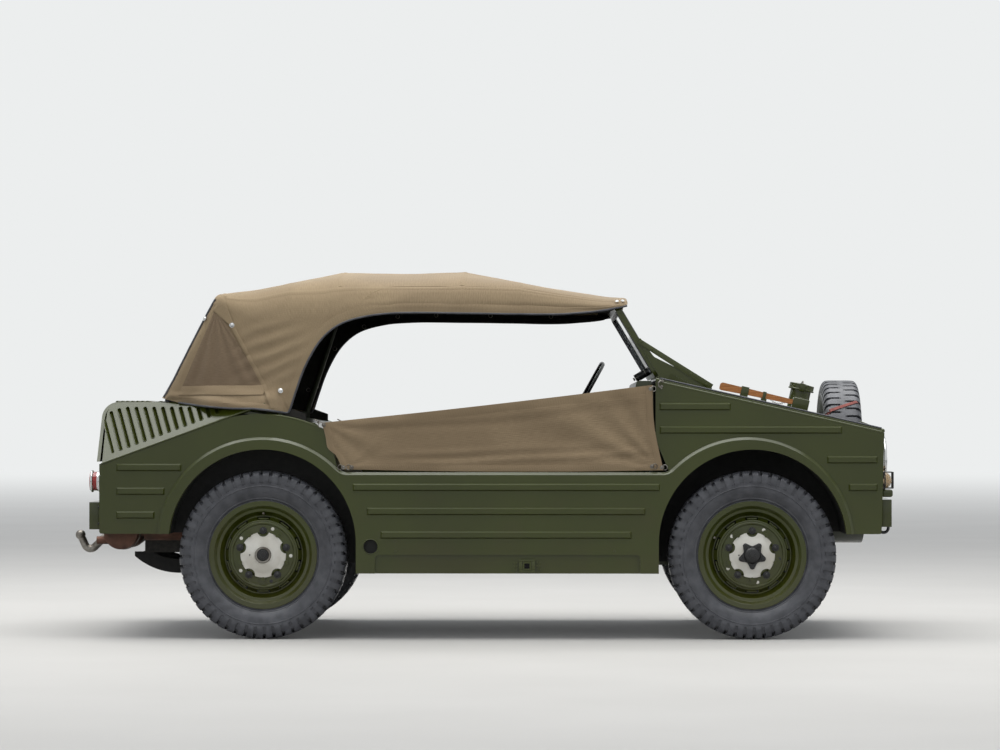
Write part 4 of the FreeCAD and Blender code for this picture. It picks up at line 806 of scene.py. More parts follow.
def canopyPlace(u, v):
    side = -1 if u < 0.5 else 1
    s = abs(2 * u - 1)
    ridgeX, ridgeZ = readTable(canopyCut["ridge"], v)
    hemX, hemZ = readTable(canopyCut["hem"], v)
    onRoof = fade(*canopyCut["roofFrom"], v)
    drop = 0.003 + onRoof * max(0.020, ridgeZ - canopyCut["crown"] + 0.006)
    cornerZ = ridgeZ - drop
    corner = Vector((ridgeX, canopyHalf(ridgeX, cornerZ), cornerZ))
    down = Vector((hemX, canopyHalf(hemX, hemZ), hemZ)) - corner
    roofRound = canopyCut["rearRound"] + (canopyCut["roofRound"] - canopyCut["rearRound"]) * onRoof
    sideRound = min(roofRound, down.length * (0.45 + 0.3 * onRoof))

    def roofAt(y):
        return Vector((ridgeX, y, ridgeZ - drop * (y / corner.y) ** 2.2))

    def sideAt(far):
        point = corner + down * (far / down.length)
        point.y = canopyHalf(point.x, point.z)
        return point

    first, second = canopyCut["roofShare"], canopyCut["cornerShare"]
    if s <= first:
        point = roofAt((corner.y - roofRound) * s / first)
    elif s < second:
        t = (s - first) / (second - first)
        start, end = roofAt(corner.y - roofRound), sideAt(sideRound)
        point = start * (1 - t) ** 2 + corner * (2 * t * (1 - t)) + end * t * t
    else:
        point = sideAt(sideRound + (down.length - sideRound) * (s - second) / (1 - second))
    point.y *= side
    return point


def grain(x, y, z):
    return noise.noise(Vector((x, y, z)))


def bell(value, wide):
    return math.exp(-(value / wide) ** 2)


def canopyFold(co, u, v):
    s = abs(2 * u - 1)
    x, y, z = co
    side = -1 if u < 0.5 else 1
    depth = 0.0030 * grain(x * 4, side * 2 + y * 4, z * 4) + 0.0010 * grain(x * 15, side * 3 + y * 15, z * 15)
    roof, overBows = 1 - fade(0.40, 0.60, s), fade(0.3, 0.4, v)
    # the cloth sags between the bows and stands up over them
    bows = canopyCut["bows"]
    for start, end in zip(bows, bows[1:]):
        if start < x < end:
            sag = math.sin(math.pi * (x - start) / (end - start)) ** 2
            depth -= 0.0065 * sag * (0.35 + 0.65 * roof) * overBows
    for bow in bows[1:3]:
        depth += 0.0022 * bell(x - bow, 0.018) * overBows * (1 - fade(0.55, 0.75, s))
    # rear panel pulls in between its edges
    rear = (1 - fade(0.26, 0.34, v)) * roof * math.sin(math.pi * min(1.0, v / 0.32))
    depth += rear * (0.0022 * math.sin(y * 42 + 2 * grain(x * 6, y * 3, z * 3)) - 0.006)
    if s > 0.55:
        # folds run round the door arch, tighter towards its foot
        near = math.exp(-((x + 0.86) / 0.12) ** 2 - ((z - 1.20) / 0.15) ** 2)
        turn = (z - 0.42 * (x + 0.86)) * 2 * math.pi / 0.062
        depth += 0.0052 * near * math.sin(turn + 1.6 * grain(x * 8, side, z * 5))
        # drawn lines from the windscreen corner back along the side
        ahead = fade(-0.15, 0.30, x) * fade(1.36, 1.40, z)
        depth += 0.0026 * ahead * math.sin((z - 1.43 + 0.05 * (x - 0.64)) * 2 * math.pi / 0.040)
        # a long soft hollow under the shoulder and a fold from the front bow's end back and down
        depth -= 0.0040 * bell(z - 1.445 - 0.03 * (x + 0.5), 0.014) * fade(-0.95, -0.75, x)
        crease = bell(z - (1.50 + 0.30 * (x + 0.10)), 0.012)
        depth += 0.0042 * crease * fade(-0.42, -0.34, x) * (1 - fade(-0.12, -0.05, x))
        # slack over the deck
        low = (1 - fade(1.02, 1.07, z)) * (1 - fade(-0.86, -0.80, x))
        turn = (z + 0.16 * (x + 1.1)) * 2 * math.pi / 0.052
        depth += 0.0048 * low * math.sin(turn + 2.2 * grain(x * 7, side, z * 9))
    return depth * (0.25 + 0.75 * (1 - fade(0.975, 1.0, s)))


def outOfCabin(centre):
    return centre - Vector((-0.4, 0, 0.9))


canopyTop = makeSheet("canopy_top", canopyCut["columns"], canopyCut["rows"], canopyPlace, outOfCabin, canopyFold,
                      canopyCut["flat"])


# where a finished cloth lies, so that seams, hems and studs follow its folds

def readCloth(piece, columns, rows):
    held = [(point.co.copy(), point.normal.copy()) for point in piece.data.vertices]

    def at(u, v, lift=0.0):
        across, along = min(1, max(0, u)) * columns, min(1, max(0, v)) * rows
        i, j = min(columns - 1, int(across)), min(rows - 1, int(along))
        a, b = across - i, along - j
        result, normal = Vector(), Vector()
        for di, dj, share in ((0, 0, (1 - a) * (1 - b)), (1, 0, a * (1 - b)), (0, 1, (1 - a) * b), (1, 1, a * b)):
            place, out = held[(j + dj) * (columns + 1) + i + di]
            result += place * share
            normal += out * share
        return result + normal.normalized() * lift

    return at


onCloth = readCloth(canopyTop, canopyCut["columns"], canopyCut["rows"])


def bandAlong(name, route, columns, lift, key, thick=0.0016, cloth=onCloth, away=outOfCabin):
    # a strip of cloth sewn on along a route of (u, v, across in u, across in v)
    def place(across, along):
        at = along * (len(route) - 1)
        number = min(len(route) - 2, int(at))
        share = at - number
        u, v, stepU, stepV = (a + (b - a) * share for a, b in zip(route[number], route[number + 1]))
        edge = 0.0 if 0.02 < across < 0.98 else -0.0012
        return cloth(u + stepU * across, v + stepV * across, lift + edge)

    return sewSheet(makeSheet(name, columns, len(route) - 1, place, away), key, thick, 40)


def sideU(s, side):
    return 0.5 + side * s / 2


def hemStep(v, wide):
    # how far in u a width is, at v on the side
    hemX, hemZ = readTable(canopyCut["hem"], v)
    upper = onCloth(sideU(canopyCut["cornerShare"], -1), v)
    length = (upper - Vector((hemX, upper.y, hemZ))).length
    return min(0.5, wide / max(length, 0.02) * (1 - canopyCut["cornerShare"])) / 2


trim = {"hem": (0.372, 0.992, 110), "hemWide": 0.045, "foot": (0.004, 0.354, 50), "footWide": 0.030,
        "corner": (0.004, 0.304, 70), "cornerS": 0.51, "shoulder": (0.345, 0.985, 110), "shoulderS": 0.505,
        "across": (0.25, 0.75, 70), "seams": ((0.338, 0.010), (0.578, 0.008), (0.728, 0.008), (0.972, 0.026)),
        "piping": 0.0045, "lift": 0.0012, "flat": 0.0004}
trimPieces = []
for side, label in bothSides:
    # hem band up the arch and along the door opening, and another along the deck
    edgeU, seamU = sideU(1.0, side), sideU(trim["shoulderS"], side)
    for name, part, columns in (("canopy_hem_", "hem", 5), ("canopy_foot_", "foot", 4)):
        route = [(edgeU, v, -side * hemStep(v, trim[part + "Wide"]), 0.0) for v in spread(*trim[part])]
        trimPieces.append(bandAlong(name + label, route, columns, trim["lift"], "canvas"))
    # black piping round the hem and up the rear corner
    edge = [onCloth(edgeU, v, 0.001) for v in spread(0, 1, 240)]
    corner = [onCloth(sideU(trim["cornerS"], side), v, 0.002) for v in spread(*trim["corner"])]
    piping = joinPieces([makeTube(points, trim["piping"]) for points in (edge, corner)], "canopy_piping_" + label)
    trimPieces.append(settle(piping, None, "rubber"))
    # shoulder seam from the rear corner to the windscreen
    route = [(seamU, v, side * 0.010, 0.0) for v in spread(*trim["shoulder"])]
    trimPieces.append(bandAlong("canopy_seam_" + label, route, 3, trim["flat"], "canvas", 0.0012))
# seams across the roof over the bows, and the front hem over the windscreen
for number, (v, wide) in enumerate(trim["seams"]):
    route = [(u, v, 0.0, wide) for u in spread(*trim["across"])]
    trimPieces.append(bandAlong("canopy_cross_seam_" + str(number), route, 3, trim["flat"], "canvas", 0.0012))


# studs, flap corner, darker quarter panel, lining with eyelets, rear window

bpy.context.view_layer.update()


def onTop(a, z, lift, side):
    # a place on the side of the top, a along X, or on its rear when side is 0, a along Y; and which way it faces
    start, way, missed = (a, side * 1.2, z), (0, -side, 0), (a, side * canopyHalf(a, z), z)
    if not side:
        start, way, missed = (-2.0, a, z), (1, 0, 0), (-1.312 + (z - 1.018) * 0.468, a, z)
    found, place, normal, face = canopyTop.ray_cast(Vector(start), Vector(way))
    return (place + normal * lift, normal) if found else (Vector(missed), Vector((0, side, 0)))


def between(corners, u, v):
    return corners[0].lerp(corners[1], u).lerp(corners[3].lerp(corners[2], u), v)


def patchOn(name, corners, cuts, lift, key, side, foldOf=None, thick=0.0014, flat=(0.4, 0.4)):
    # a patch of cloth between four corners (x, z), or (y, z) on the rear, laid on the top
    corners = [Vector((a, b, 0)) for a, b in corners]
    away = Vector((0, side, 0)) if side else Vector((-1, 0, 0.4))

    def place(u, v):
        spot = between(corners, u, v)
        edge = 0.0 if 0.015 < u < 0.985 and 0.015 < v < 0.985 else -0.0014
        return onTop(spot.x, spot.y, lift + edge, side)[0]

    return sewSheet(makeSheet(name, *cuts, place, lambda centre: away, foldOf, flat), key, thick, 40)


def studAt(place, outward, radius=0.0075):
    cap = rod(place, place + outward * 0.0042, radius, 18, 0.0014, radius * 0.72)
    washer = rod(place - outward * 0.0006, place + outward * 0.0012, radius * 1.45, 20, 0.0005)
    return joinPieces([cap, washer], "stud")


quarter = {"corners": [(-1.227, 1.064), (-0.876, 1.066), (-1.066, 1.372), (-1.088, 1.378)], "lift": 0.0038,
           "band": [(-1.245, 1.028), (-0.880, 1.026), (-0.872, 1.068), (-1.228, 1.066)], "bandLift": 0.0052,
           "seam": [(-1.084, 1.420), (-1.013, 1.3226), (-0.945, 1.195), (-0.878, 1.070), (-0.838, 0.972)],
           "seamHalf": 0.008, "seamLift": 0.0056,
           "flap": [(-1.096, 1.388), (-1.016, 1.318), (-1.008, 1.328), (-1.052, 1.4515)], "flapLift": 0.0066,
           "studs": [(-1.013, 1.3226), (-0.809, 1.044), (-1.126, 1.350), (0.636, 1.4200), (0.612, 1.4185)],
           "eyelets": [(-0.533, 1.352), (-0.668, 1.250), (-0.752, 1.075), (-0.790, 1.060), (-0.377, 1.398),
                       (-0.200, 1.404), (0.051, 1.402), (0.330, 1.398)], "eyeletIn": 0.0092}
for side, label in bothSides:
    def quarterFold(co, u, v, side=side):
        # a fan of folds from the panel's top corner
        turn = math.atan2(co.x + 1.081, 1.378 - co.z) * 23 + side + 1.4 * grain(co.x * 5, side, co.z * 4)
        near = min(u, 1 - u, v, 1 - v) * 6
        return min(1.0, near) * (0.0034 * (1 - v) ** 0.6 * math.sin(turn) - 0.0004)

    trimPieces.append(patchOn("canopy_quarter_" + label, quarter["corners"], (44, 40), quarter["lift"],
                              "quarterCanvas", side, quarterFold))
    trimPieces.append(patchOn("canopy_quarter_band_" + label, quarter["band"], (36, 4), quarter["bandLift"], "canvas",
                              side, lambda co, u, v: 0.0012 * math.sin(u * 19) * math.sin(math.pi * v)))
    strips = []
    for (x0, z0), (x1, z1) in zip(quarter["seam"], quarter["seam"][1:]):
        dx, dz = Vector((z1 - z0, x0 - x1)).normalized() * quarter["seamHalf"]
        corners = [(x0 - dx, z0 - dz), (x0 + dx, z0 + dz), (x1 + dx, z1 + dz), (x1 - dx, z1 - dz)]
        strips.append(patchOn("strip", corners, (3, 12), quarter["seamLift"], "canvas", side))
    trimPieces.append(settle(joinPieces(strips, "canopy_quarter_seam_" + label), None, "canvas"))
    trimPieces.append(patchOn("canopy_flap_" + label, quarter["flap"], (14, 14), quarter["flapLift"], "canvas", side,
                              lambda co, u, v: 0.0008 * math.sin(u * 5 * 2 * math.pi)))
    studs, eyelets = [], []
    for x, z in quarter["studs"]:
        place, out = onTop(x, z, 0.0, side)
        studs.append(studAt(place + out * quarter["flapLift"], out, 0.0060 if x > 0 else 0.0075))
    trimPieces.append(settle(joinPieces(studs, "canopy_studs_" + label), None, "chrome"))
    for x, z in quarter["eyelets"]:
        place = onTop(x, z, 0.0, side)[0] - Vector((0, side * quarter["eyeletIn"], 0))
        clearSelection()
        bpy.ops.mesh.primitive_torus_add(major_radius=0.0085, minor_radius=0.0016, major_segments=24,
                                         minor_segments=8, location=place, rotation=(math.pi / 2, 0, 0))
        eyelets.append(smooth(settle(bpy.context.object), 60))
    trimPieces.append(settle(joinPieces(eyelets, "lining_eyelets_" + label), None, "bareSteel"))

liningCut = {"from": 0.004, "share": 0.992, "under": -0.0075, "flat": (2.6, 2.5)}


def liningPlace(u, v):
    start, share = liningCut["from"], liningCut["share"]
    return onCloth(start + share * u, start + share * v, liningCut["under"])


lining = makeSheet("canopy_lining", 88, 100, liningPlace, lambda centre: -outOfCabin(centre), None, liningCut["flat"])
trimPieces.append(sewSheet(lining, "lining", 0.0012, offset=-1))

# rear window and its sewn border: (y, y, z, z, columns, rows)
windowAt = {"half": 0.33, "low": 1.150, "high": 1.350, "borders": [
    (-0.352, 0.352, 1.128, 1.154, 40, 3), (-0.352, 0.352, 1.346, 1.372, 40, 3),
    (-0.352, -0.326, 1.1545, 1.3455, 3, 14), (0.326, 0.352, 1.1545, 1.3455, 3, 14)]}


def cornersOf(a0, a1, z0, z1):
    return [(a0, z0), (a1, z0), (a1, z1), (a0, z1)]


pane = cornersOf(-windowAt["half"], windowAt["half"], windowAt["low"], windowAt["high"])
trimPieces.append(patchOn("rear_window", pane, (40, 16), 0.0016, "windowVinyl", 0, None, 0.0010, (0.66, 0.22)))
borders = [patchOn("border", cornersOf(*row[:4]), row[4:], 0.0030, "canvas", 0) for row in windowAt["borders"]]
trimPieces.append(settle(joinPieces(borders, "rear_window_border"), None, "canvas"))

# dark skirts from the hem's front corner down inside the body, and the roll under the rear edge
skirt = {"y": 0.7375, "corners": [(-0.800, 0.915), (-0.700, 0.905), (-0.700, 0.949), (-0.800, 0.985)]}
roll = {"x": -1.300, "half": 0.615, "z": 1.0072, "radius": 0.0092}
for side, label in bothSides:
    corners = [Vector((x, side * skirt["y"], z)) for x, z in skirt["corners"]]
    sheet = makeSheet("canopy_skirt_" + label, 12, 5, lambda u, v: between(corners, u, v),
                      lambda centre: Vector((0, side, 0)), None, (0.17, 0.07))
    trimPieces.append(sewSheet(sheet, "lining", 0.0012, offset=-1))
rollLine = [(roll["x"], y, roll["z"]) for y in spread(-roll["half"], roll["half"], 30)]
trimPieces.append(settle(makeTube(rollLine, roll["radius"]), "canopy_rear_piping", "rubber"))

# flap that closes the gap between the cloth's front edge and the windscreen
frontFlap = {"x": 0.6085, "half": 0.694, "z": 1.4090, "u": (0.030, 0.940), "v": 0.988, "under": -0.0050}


def frontFlapPlace(u, v):
    foot = Vector((frontFlap["x"], frontFlap["half"] * (2 * u - 1), frontFlap["z"]))
    start, share = frontFlap["u"]
    return foot.lerp(onCloth(start + share * u, frontFlap["v"], frontFlap["under"]), v)


flap = makeSheet("canopy_front_flap", 90, 5, frontFlapPlace, lambda centre: Vector((1, 0, -0.3)),
                 lambda co, u, v: 0.0016 * math.sin(v * math.pi) * grain(co.y * 9, 4, v * 2), (1.4, 0.06))
trimPieces.append(sewSheet(flap, "canvas", 0.0014))
print("canopy cloth, seams and fittings made")

sewSheet(canopyTop, "canvas", 0.0018, offset=-1)
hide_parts("canopy")
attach(canopyTop, "car_body")
for piece in trimPieces:
    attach(piece, "car_body")


# side curtains: a cloth in each door opening, hooked at its corners

curtainCut = {"columns": 96, "rows": 26, "out": 0.7838, "flat": (1.42, 0.30), "thick": 0.0012,
              "top": [(0.0, -0.630, 0.911), (0.35, -0.145, 0.962), (0.7, 0.342, 1.018), (1.0, 0.760, 1.070)],
              "bottom": [(0.0, -0.543, 0.716), (0.3, -0.140, 0.708), (0.7, 0.404, 0.7065), (1.0, 0.806, 0.712)],
              "rearEdge": [(0.0, 0.0), (0.30, -0.002), (0.45, -0.022), (0.70, -0.010), (1.0, 0.0)],
              "frontEdge": [(0.0, 0.0), (0.35, -0.012), (0.60, -0.014), (1.0, 0.0)],
              "hooks": [(-0.634, 0.914), (-0.552, 0.712), (-0.516, 0.712), (0.764, 1.066), (0.770, 0.716),
                        (0.812, 0.712)],
              "fans": [((-0.630, 0.912), 1, 0.0046, 0.30, 13, 0.6, 0.04),
                       ((0.800, 0.712), -1, 0.0062, 0.55, 17, -0.4, 0.05),
                       ((-0.535, 0.716), 1, 0.0046, 0.12, 11, 0.0, 0.03)]}


def curtainPlace(side):
    def place(u, v):
        topX, topZ = readTable(curtainCut["top"], u)
        lowX, lowZ = readTable(curtainCut["bottom"], u)
        [rear], [front] = readTable(curtainCut["rearEdge"], v), readTable(curtainCut["frontEdge"], v)
        x = lowX + (topX - lowX) * v + rear * (1 - u) ** 4 + front * u ** 6
        return Vector((x, side * curtainCut["out"], lowZ + (topZ - lowZ) * v))
    return place


def curtainFold(side):
    def fold(co, u, v):
        x, y, z = co
        depth = 0.0
        # pulls that fan out from three corners
        for (hookX, hookZ), way, high, reach, folds, start, clear in curtainCut["fans"]:
            far, turn = math.hypot(x - hookX, z - hookZ), math.atan2(z - hookZ, way * (x - hookX))
            depth += high * math.exp(-far / reach) * math.sin(turn * folds + start) * min(1.0, far / clear)
        # slack along the foot
        turn = (z - 0.06 * x) * 2 * math.pi / 0.046 + 1.5 * grain(x * 2.5, side, z * 2)
        depth += 0.0042 * bell(z - 0.765 - 0.02 * x, 0.035) * math.sin(turn) * fade(-0.45, -0.1, x)
        # the cloth puckers under the top hem, and stands up over the strap inside it
        hemLine = v - 0.80 - 0.03 * math.sin(u * 9)
        depth += 0.0030 * math.sin(hemLine * 22) * bell(hemLine, 0.10) * fade(0.05, 0.2, u)
        depth += 0.0028 * bell(x - 0.156, 0.007) * fade(0.60, 0.72, v)
        depth += 0.0034 * grain(x * 5, side * 2, z * 8) + 0.0009 * grain(x * 22, side, z * 22)
        inner = min(1.0, min(u, 1 - u) * 14, min(v, 1 - v) * 7)
        return inner * (depth - 0.002 * math.sin(math.pi * u) * math.sin(math.pi * v))
    return fold


def openHook(place, outward, lean):
    # bent wire hook through an eyelet
    points = [place + Vector((lean * (0.012 - 0.010 * math.cos(t)), 0, 0.011 * math.sin(t)))
              + outward * (0.0045 - 0.003 * math.sin(t / 2)) for t in (math.radians(18 * step) for step in range(17))]
    return makeTube(points, 0.0017, sides=3)


for side, label in bothSides:
    away = lambda centre, side=side: Vector((0, side, 0))
    curtain = makeSheet("side_curtain_" + label, curtainCut["columns"], curtainCut["rows"], curtainPlace(side), away,
                        curtainFold(side), curtainCut["flat"])
    onCurtain = readCloth(curtain, curtainCut["columns"], curtainCut["rows"])
    hems = {"top": ([(u, 1.0, 0.0, -0.034 / (0.20 + 0.16 * u)) for u in spread(0, 1, 90)], 4, 0.0008),
            "low": ([(u, 0.0, 0.0, 0.026 / (0.20 + 0.16 * u)) for u in spread(0, 1, 90)], 4, 0.0008),
            "front": ([(1.0, v, -0.021, 0.0) for v in spread(0, 1, 30)], 3, 0.0018),
            "rear": ([(0.0, v, 0.021, 0.0) for v in spread(0, 1, 30)], 3, 0.0018)}
    bands = [bandAlong("curtain_" + edge + "_hem_" + label, *hem, "curtainCanvas", curtainCut["thick"], onCurtain, away)
             for edge, hem in hems.items()]
    eyes, hooks, out = [], [], Vector((0, side, 0))
    for x, z in curtainCut["hooks"]:
        inward = Vector((0.012 if x < 0 else -0.012, 0, 0.012 if z < 0.8 else -0.012))
        place = Vector((x, side * (curtainCut["out"] + 0.0035), z)) + inward
        eyes.append(studAt(place, out, 0.0062))
        hooks.append(openHook(place + out * 0.003, out, -1 if x < 0 else 1))
    bands.append(settle(joinPieces(eyes + hooks, "curtain_hooks_" + label), None, "bareSteel"))
    sewSheet(curtain, "curtainCanvas", 0.0015, offset=0)
    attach(curtain, "car_body")
    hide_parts("side_curtains")
    for piece in bands:
        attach(piece, "car_body")
print("side curtains made")


# seats: duck-covered pads over sheet pans and tube frames

stuffing = {"voxel": 0.009, "frames": 20, "pressure": 4.0, "round": 0.026, "cuts": 8, "line": (0.0055, 0.0052),
            "hollow": (0.0022, 0.022), "piping": 0.0034, "pipingPlaces": 96}


def plump(piece, cap):
    # the stuffed shape: the cloth swells under pressure, no point further than cap
    takeUp(piece)
    piece.data.remesh_voxel_size = stuffing["voxel"]
    bpy.ops.object.voxel_remesh()
    start = [point.co.copy() for point in piece.data.vertices]
    scene = bpy.context.scene
    step = piece.modifiers.new("cloth", "CLOTH")
    step.settings.use_pressure = True
    step.settings.uniform_pressure_force = stuffing["pressure"]
    step.settings.effector_weights.gravity = 0.0
    step.point_cache.frame_start = 1
    step.point_cache.frame_end = stuffing["frames"]
    for number in range(1, stuffing["frames"] + 1):
        scene.frame_set(number)
    bpy.ops.object.modifier_apply(modifier=step.name)
    scene.frame_set(1)
    for point, before in zip(piece.data.vertices, start):
        moved = point.co - before
        if moved.length > cap:
            point.co = before + moved * (cap / moved.length)
    return modify(piece, "SUBSURF", levels=1, render_levels=1)


def padForm(size, crown):
    # block with softened edges and a crown on its upper face, in its own frame
    clearSelection()
    bpy.ops.mesh.primitive_cube_add(size=1, location=(0, 0, 0))
    piece = bpy.context.object
    piece.scale = size
    modify(settle(piece), "BEVEL", width=stuffing["round"], segments=4)
    inEdit(piece, (bpy.ops.mesh.subdivide, {"number_cuts": stuffing["cuts"]}))
    for point in piece.data.vertices:
        x, y = 2 * point.co.x / size[0], 2 * point.co.y / size[1]
        point.co.z += crown * (1 - x ** 4) * (1 - y ** 4) * (1 if point.co.z > 0 else 0)
        # the edges draw in between the corners
        point.co.x -= math.copysign(0.006 * (1 - abs(y) ** 3) * max(0, abs(x) - 0.7) / 0.3, x)
        point.co.y -= math.copysign(0.006 * (1 - abs(x) ** 3) * max(0, abs(y) - 0.7) / 0.3, y)
    return piece


def sewChannels(piece, size, channels):
    # sewn lines front to back, and soft creases that run off them
    for point in piece.data.vertices:
        if point.co.z <= 0:
            continue
        reach = fade(size[1] * 0.5, size[1] * 0.5 - 0.035, abs(point.co.y)) * fade(0.0, size[2] * 0.4, point.co.z)
        for place in channels:
            for depth, wide in (stuffing["line"], stuffing["hollow"]):
                point.co.z -= reach * depth * bell(point.co.x - place, wide)
        point.co.z += reach * 0.0016 * grain(point.co.x * 16, point.co.y * 7, 3.1)
        point.co.z += 0.0009 * grain(point.co.x * 40, point.co.y * 26, 7.7)
    return piece


def pipeRound(piece, size, level):
    # piping sewn round the top edge, where the pad's own surface is
    points = []
    for number in range(stuffing["pipingPlaces"]):
        angle = 2 * math.pi * number / stuffing["pipingPlaces"]
        far = Vector([math.copysign(abs(share) ** 0.45, share) * length * 0.7
                      for share, length in ((math.cos(angle), size[0]), (math.sin(angle), size[1]))] + [level])
        found, place, normal, face = piece.ray_cast(far, Vector((-far.x * 0.35, -far.y * 0.35, 0)).normalized())
        if found:
            points.append(place + normal * stuffing["piping"] * 0.35)
    return makeTube(points, stuffing["piping"], close=True, sides=3)


def layFrame(pieces, origin, along):
    # puts pieces made flat in their own frame on the seat, their X across the car
    across, along = Vector((0, 1, 0)), Vector(along).normalized()
    place = Matrix((across, along, across.cross(along))).transposed().to_4x4()
    place.translation = Vector(origin)
    for piece in pieces:
        piece.matrix_world = place
        settle(piece)
    return pieces


# each pad: size, crown, sewn lines, how far it may swell, height of its piping, and where and how it lies
seatLines = [-0.137, -0.046, 0.046, 0.137]
benchLines = [-0.45, -0.36, -0.27, -0.18, -0.09, 0.0, 0.09, 0.18, 0.27, 0.36, 0.45]
flatOut = (-1, 0, 0)
padPlan = {"seat_cushion_right": ((0.455, 0.395, 0.082), 0.010, seatLines, 0.010, 0.022),
           "seat_back_right": ((0.450, 0.425, 0.064), 0.008, seatLines, 0.009, 0.016),
           "bench_cushion": ((1.085, 0.305, 0.086), 0.010, benchLines, 0.010, 0.024),
           "bench_back": ((1.085, 0.305, 0.058), 0.006, benchLines, 0.008, 0.015)}
layAt = {"cushion": (0.208, 0.4815, flatOut), "back": (-0.088, 0.672, (-0.2205, 0, 0.9754)),
         "benchCushion": (-0.420, 0.5185, flatOut), "benchBack": (-0.573, 0.725, (-0.155, 0, 0.9879))}


def makePad(name):
    size, crown, channels, cap, level = padPlan[name]
    pad = sewChannels(plump(padForm(size, crown), cap), size, channels)
    smooth(settle(pad, name, "seatCloth"), 60)
    bpy.context.view_layer.update()
    return pad, settle(pipeRound(pad, size, level), name + "_piping", "seatPiping")


cushion, backPad, bench, benchBack = [makePad(name) for name in padPlan]
print("pads stuffed")

seatTube = {"legs": (0.033, 0.373), "edge": 0.19, "floor": 0.322, "leg": 0.0115, "boltX": (0.014, 0.392),
            "side": 0.2285,
            "stretcher": [(0.373, 0.340), (0.300, 0.352), (0.110, 0.352), (0.033, 0.340)],
            "hoop": [(-0.058, 0.2285, 0.432), (-0.100, 0.2285, 0.600), (-0.157, 0.2285, 0.832), (-0.167, 0.215, 0.872),
                     (-0.170, 0.180, 0.886)]}


def seatFrame(y, name):
    # pan, four legs, runners with bolts, hoop behind the back
    floorZ, hinge = seatTube["floor"], seatTube["side"]
    parts = [block((0.010, y - 0.225, 0.4285), (0.405, y + 0.225, 0.4345))]
    for side in (-1, 1):
        edge = y + side * seatTube["edge"]
        parts.append(block((0.004, edge - 0.016, 0.3165), (0.402, edge + 0.016, 0.3225), 0.0015))
        parts += [pin("z", (x, edge, floorZ), 0.430, seatTube["leg"], 20, 0) for x in seatTube["legs"]]
        parts.append(makeTube([(x, edge, z) for x, z in seatTube["stretcher"]], 0.007, sides=3))
        parts += [pin("z", (x, edge, floorZ), 0.3275, 0.0075, 6, 0.0012) for x in seatTube["boltX"]]
        middle = y + side * hinge
        parts.append(block((-0.075, middle - 0.004, 0.424), (0.060, middle + 0.004, 0.470), 0.0015))
        parts.append(pin("y", (0.034, y + side * 0.2325, 0.447), y + side * 0.2395, 0.009, 6, 0.0015))
    hoop = [(x, y - out, z) for x, out, z in seatTube["hoop"]]
    hoop += [(x, y + out, z) for x, out, z in reversed(seatTube["hoop"])]
    parts.append(makeTube(hoop, 0.0105))
    parts.append(makeTube([(-0.137, y - 0.226, 0.730), (-0.137, y + 0.226, 0.730)], 0.006, sides=3))
    return settle(joinPieces(parts, name), name, "armyGreenInner")


seatY = 0.350
for pair, y, lie in ((cushion, -seatY, "cushion"), (backPad, -seatY, "back"), (bench, 0, "benchCushion"),
                     (benchBack, 0, "benchBack")):
    x, z, along = layAt[lie]
    layFrame(pair, (x, y, z), along)

# the left-hand pads are copies of the right-hand ones
seatPads, frames = [], []
for side, label in bothSides:
    pads, backs = cushion, backPad
    if side > 0:
        moved = Matrix.Translation((0, 2 * seatY, 0))
        pads, backs = [[copyOf(piece, piece.name.replace("right", "left") + "_flat", moved) for piece in pair]
                       for pair in (cushion, backPad)]
    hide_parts("front_seats")
    seatPads += [(pads, 0.7), (backs, 0.65)]
    frames.append(seatFrame(side * seatY, "seat_frame_" + label))
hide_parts("rear_bench")
seatPads += [(bench, 0.7), (benchBack, 0.65)]
parts = [block((-0.578, -0.535, 0.4635), (-0.262, 0.535, 0.4695))]
for y in (-0.45, 0.45):
    parts.append(pin("z", (-0.277, y, 0.3165), 0.465, 0.0115, 20, 0))
    parts.append(pin("z", (-0.277, y, 0.3165), 0.3215, 0.026, 24))
    parts.append(block((-0.600, y - 0.014, 0.540), (-0.590, y + 0.014, 0.860), 0.001))
parts.append(pin("y", (-0.277, -0.45, 0.452), 0.45, 0.008, 16, 0))
frames.append(settle(joinPieces(parts, "bench_frame"), None, "armyGreenInner"))
for pair, fill in seatPads:
    for piece in pair:
        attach(piece, "car_body")
for framing in frames:
    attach(framing, "car_body")
print("seats made")


# body fittings

def slab(corners, thick, away, bevel=0.0):
    # a plate through its corners, given thickness towards away
    piece = inEdit(traceOutline(corners, True), (bpy.ops.mesh.edge_face_add, {}))
    if piece.data.polygons[0].normal.dot(Vector(away)) < 0:
        inEdit(piece, (bpy.ops.mesh.flip_normals, {}))
    modify(piece, "SOLIDIFY", thickness=thick, offset=1)
    if bevel:
        modify(piece, "BEVEL", width=bevel, segments=2)
    return smooth(piece)


def domeCap(place, normal, radius, rise, steps=40, rows=7):
    # a shallow dome with its rim at place; its middle stays open by a hair
    tip, skirt = 1e-5, -0.003
    ball = (radius * radius + rise * rise) / (2 * rise)
    reach = math.asin(min(1.0, radius / ball))
    outline = [(ball * math.sin(turn), ball * math.cos(turn) - ball + rise) for turn in spread(0, reach, rows)]
    outline[0] = (tip, outline[0][1])
    piece = turnOutline(outline + [(radius, skirt), (tip, skirt)], steps)
    turn = Vector(normal).to_track_quat("Y", "Z").to_matrix().to_4x4()
    piece.matrix_world = Matrix.Translation(Vector(place)) @ turn
    return smooth(settle(piece), 45)
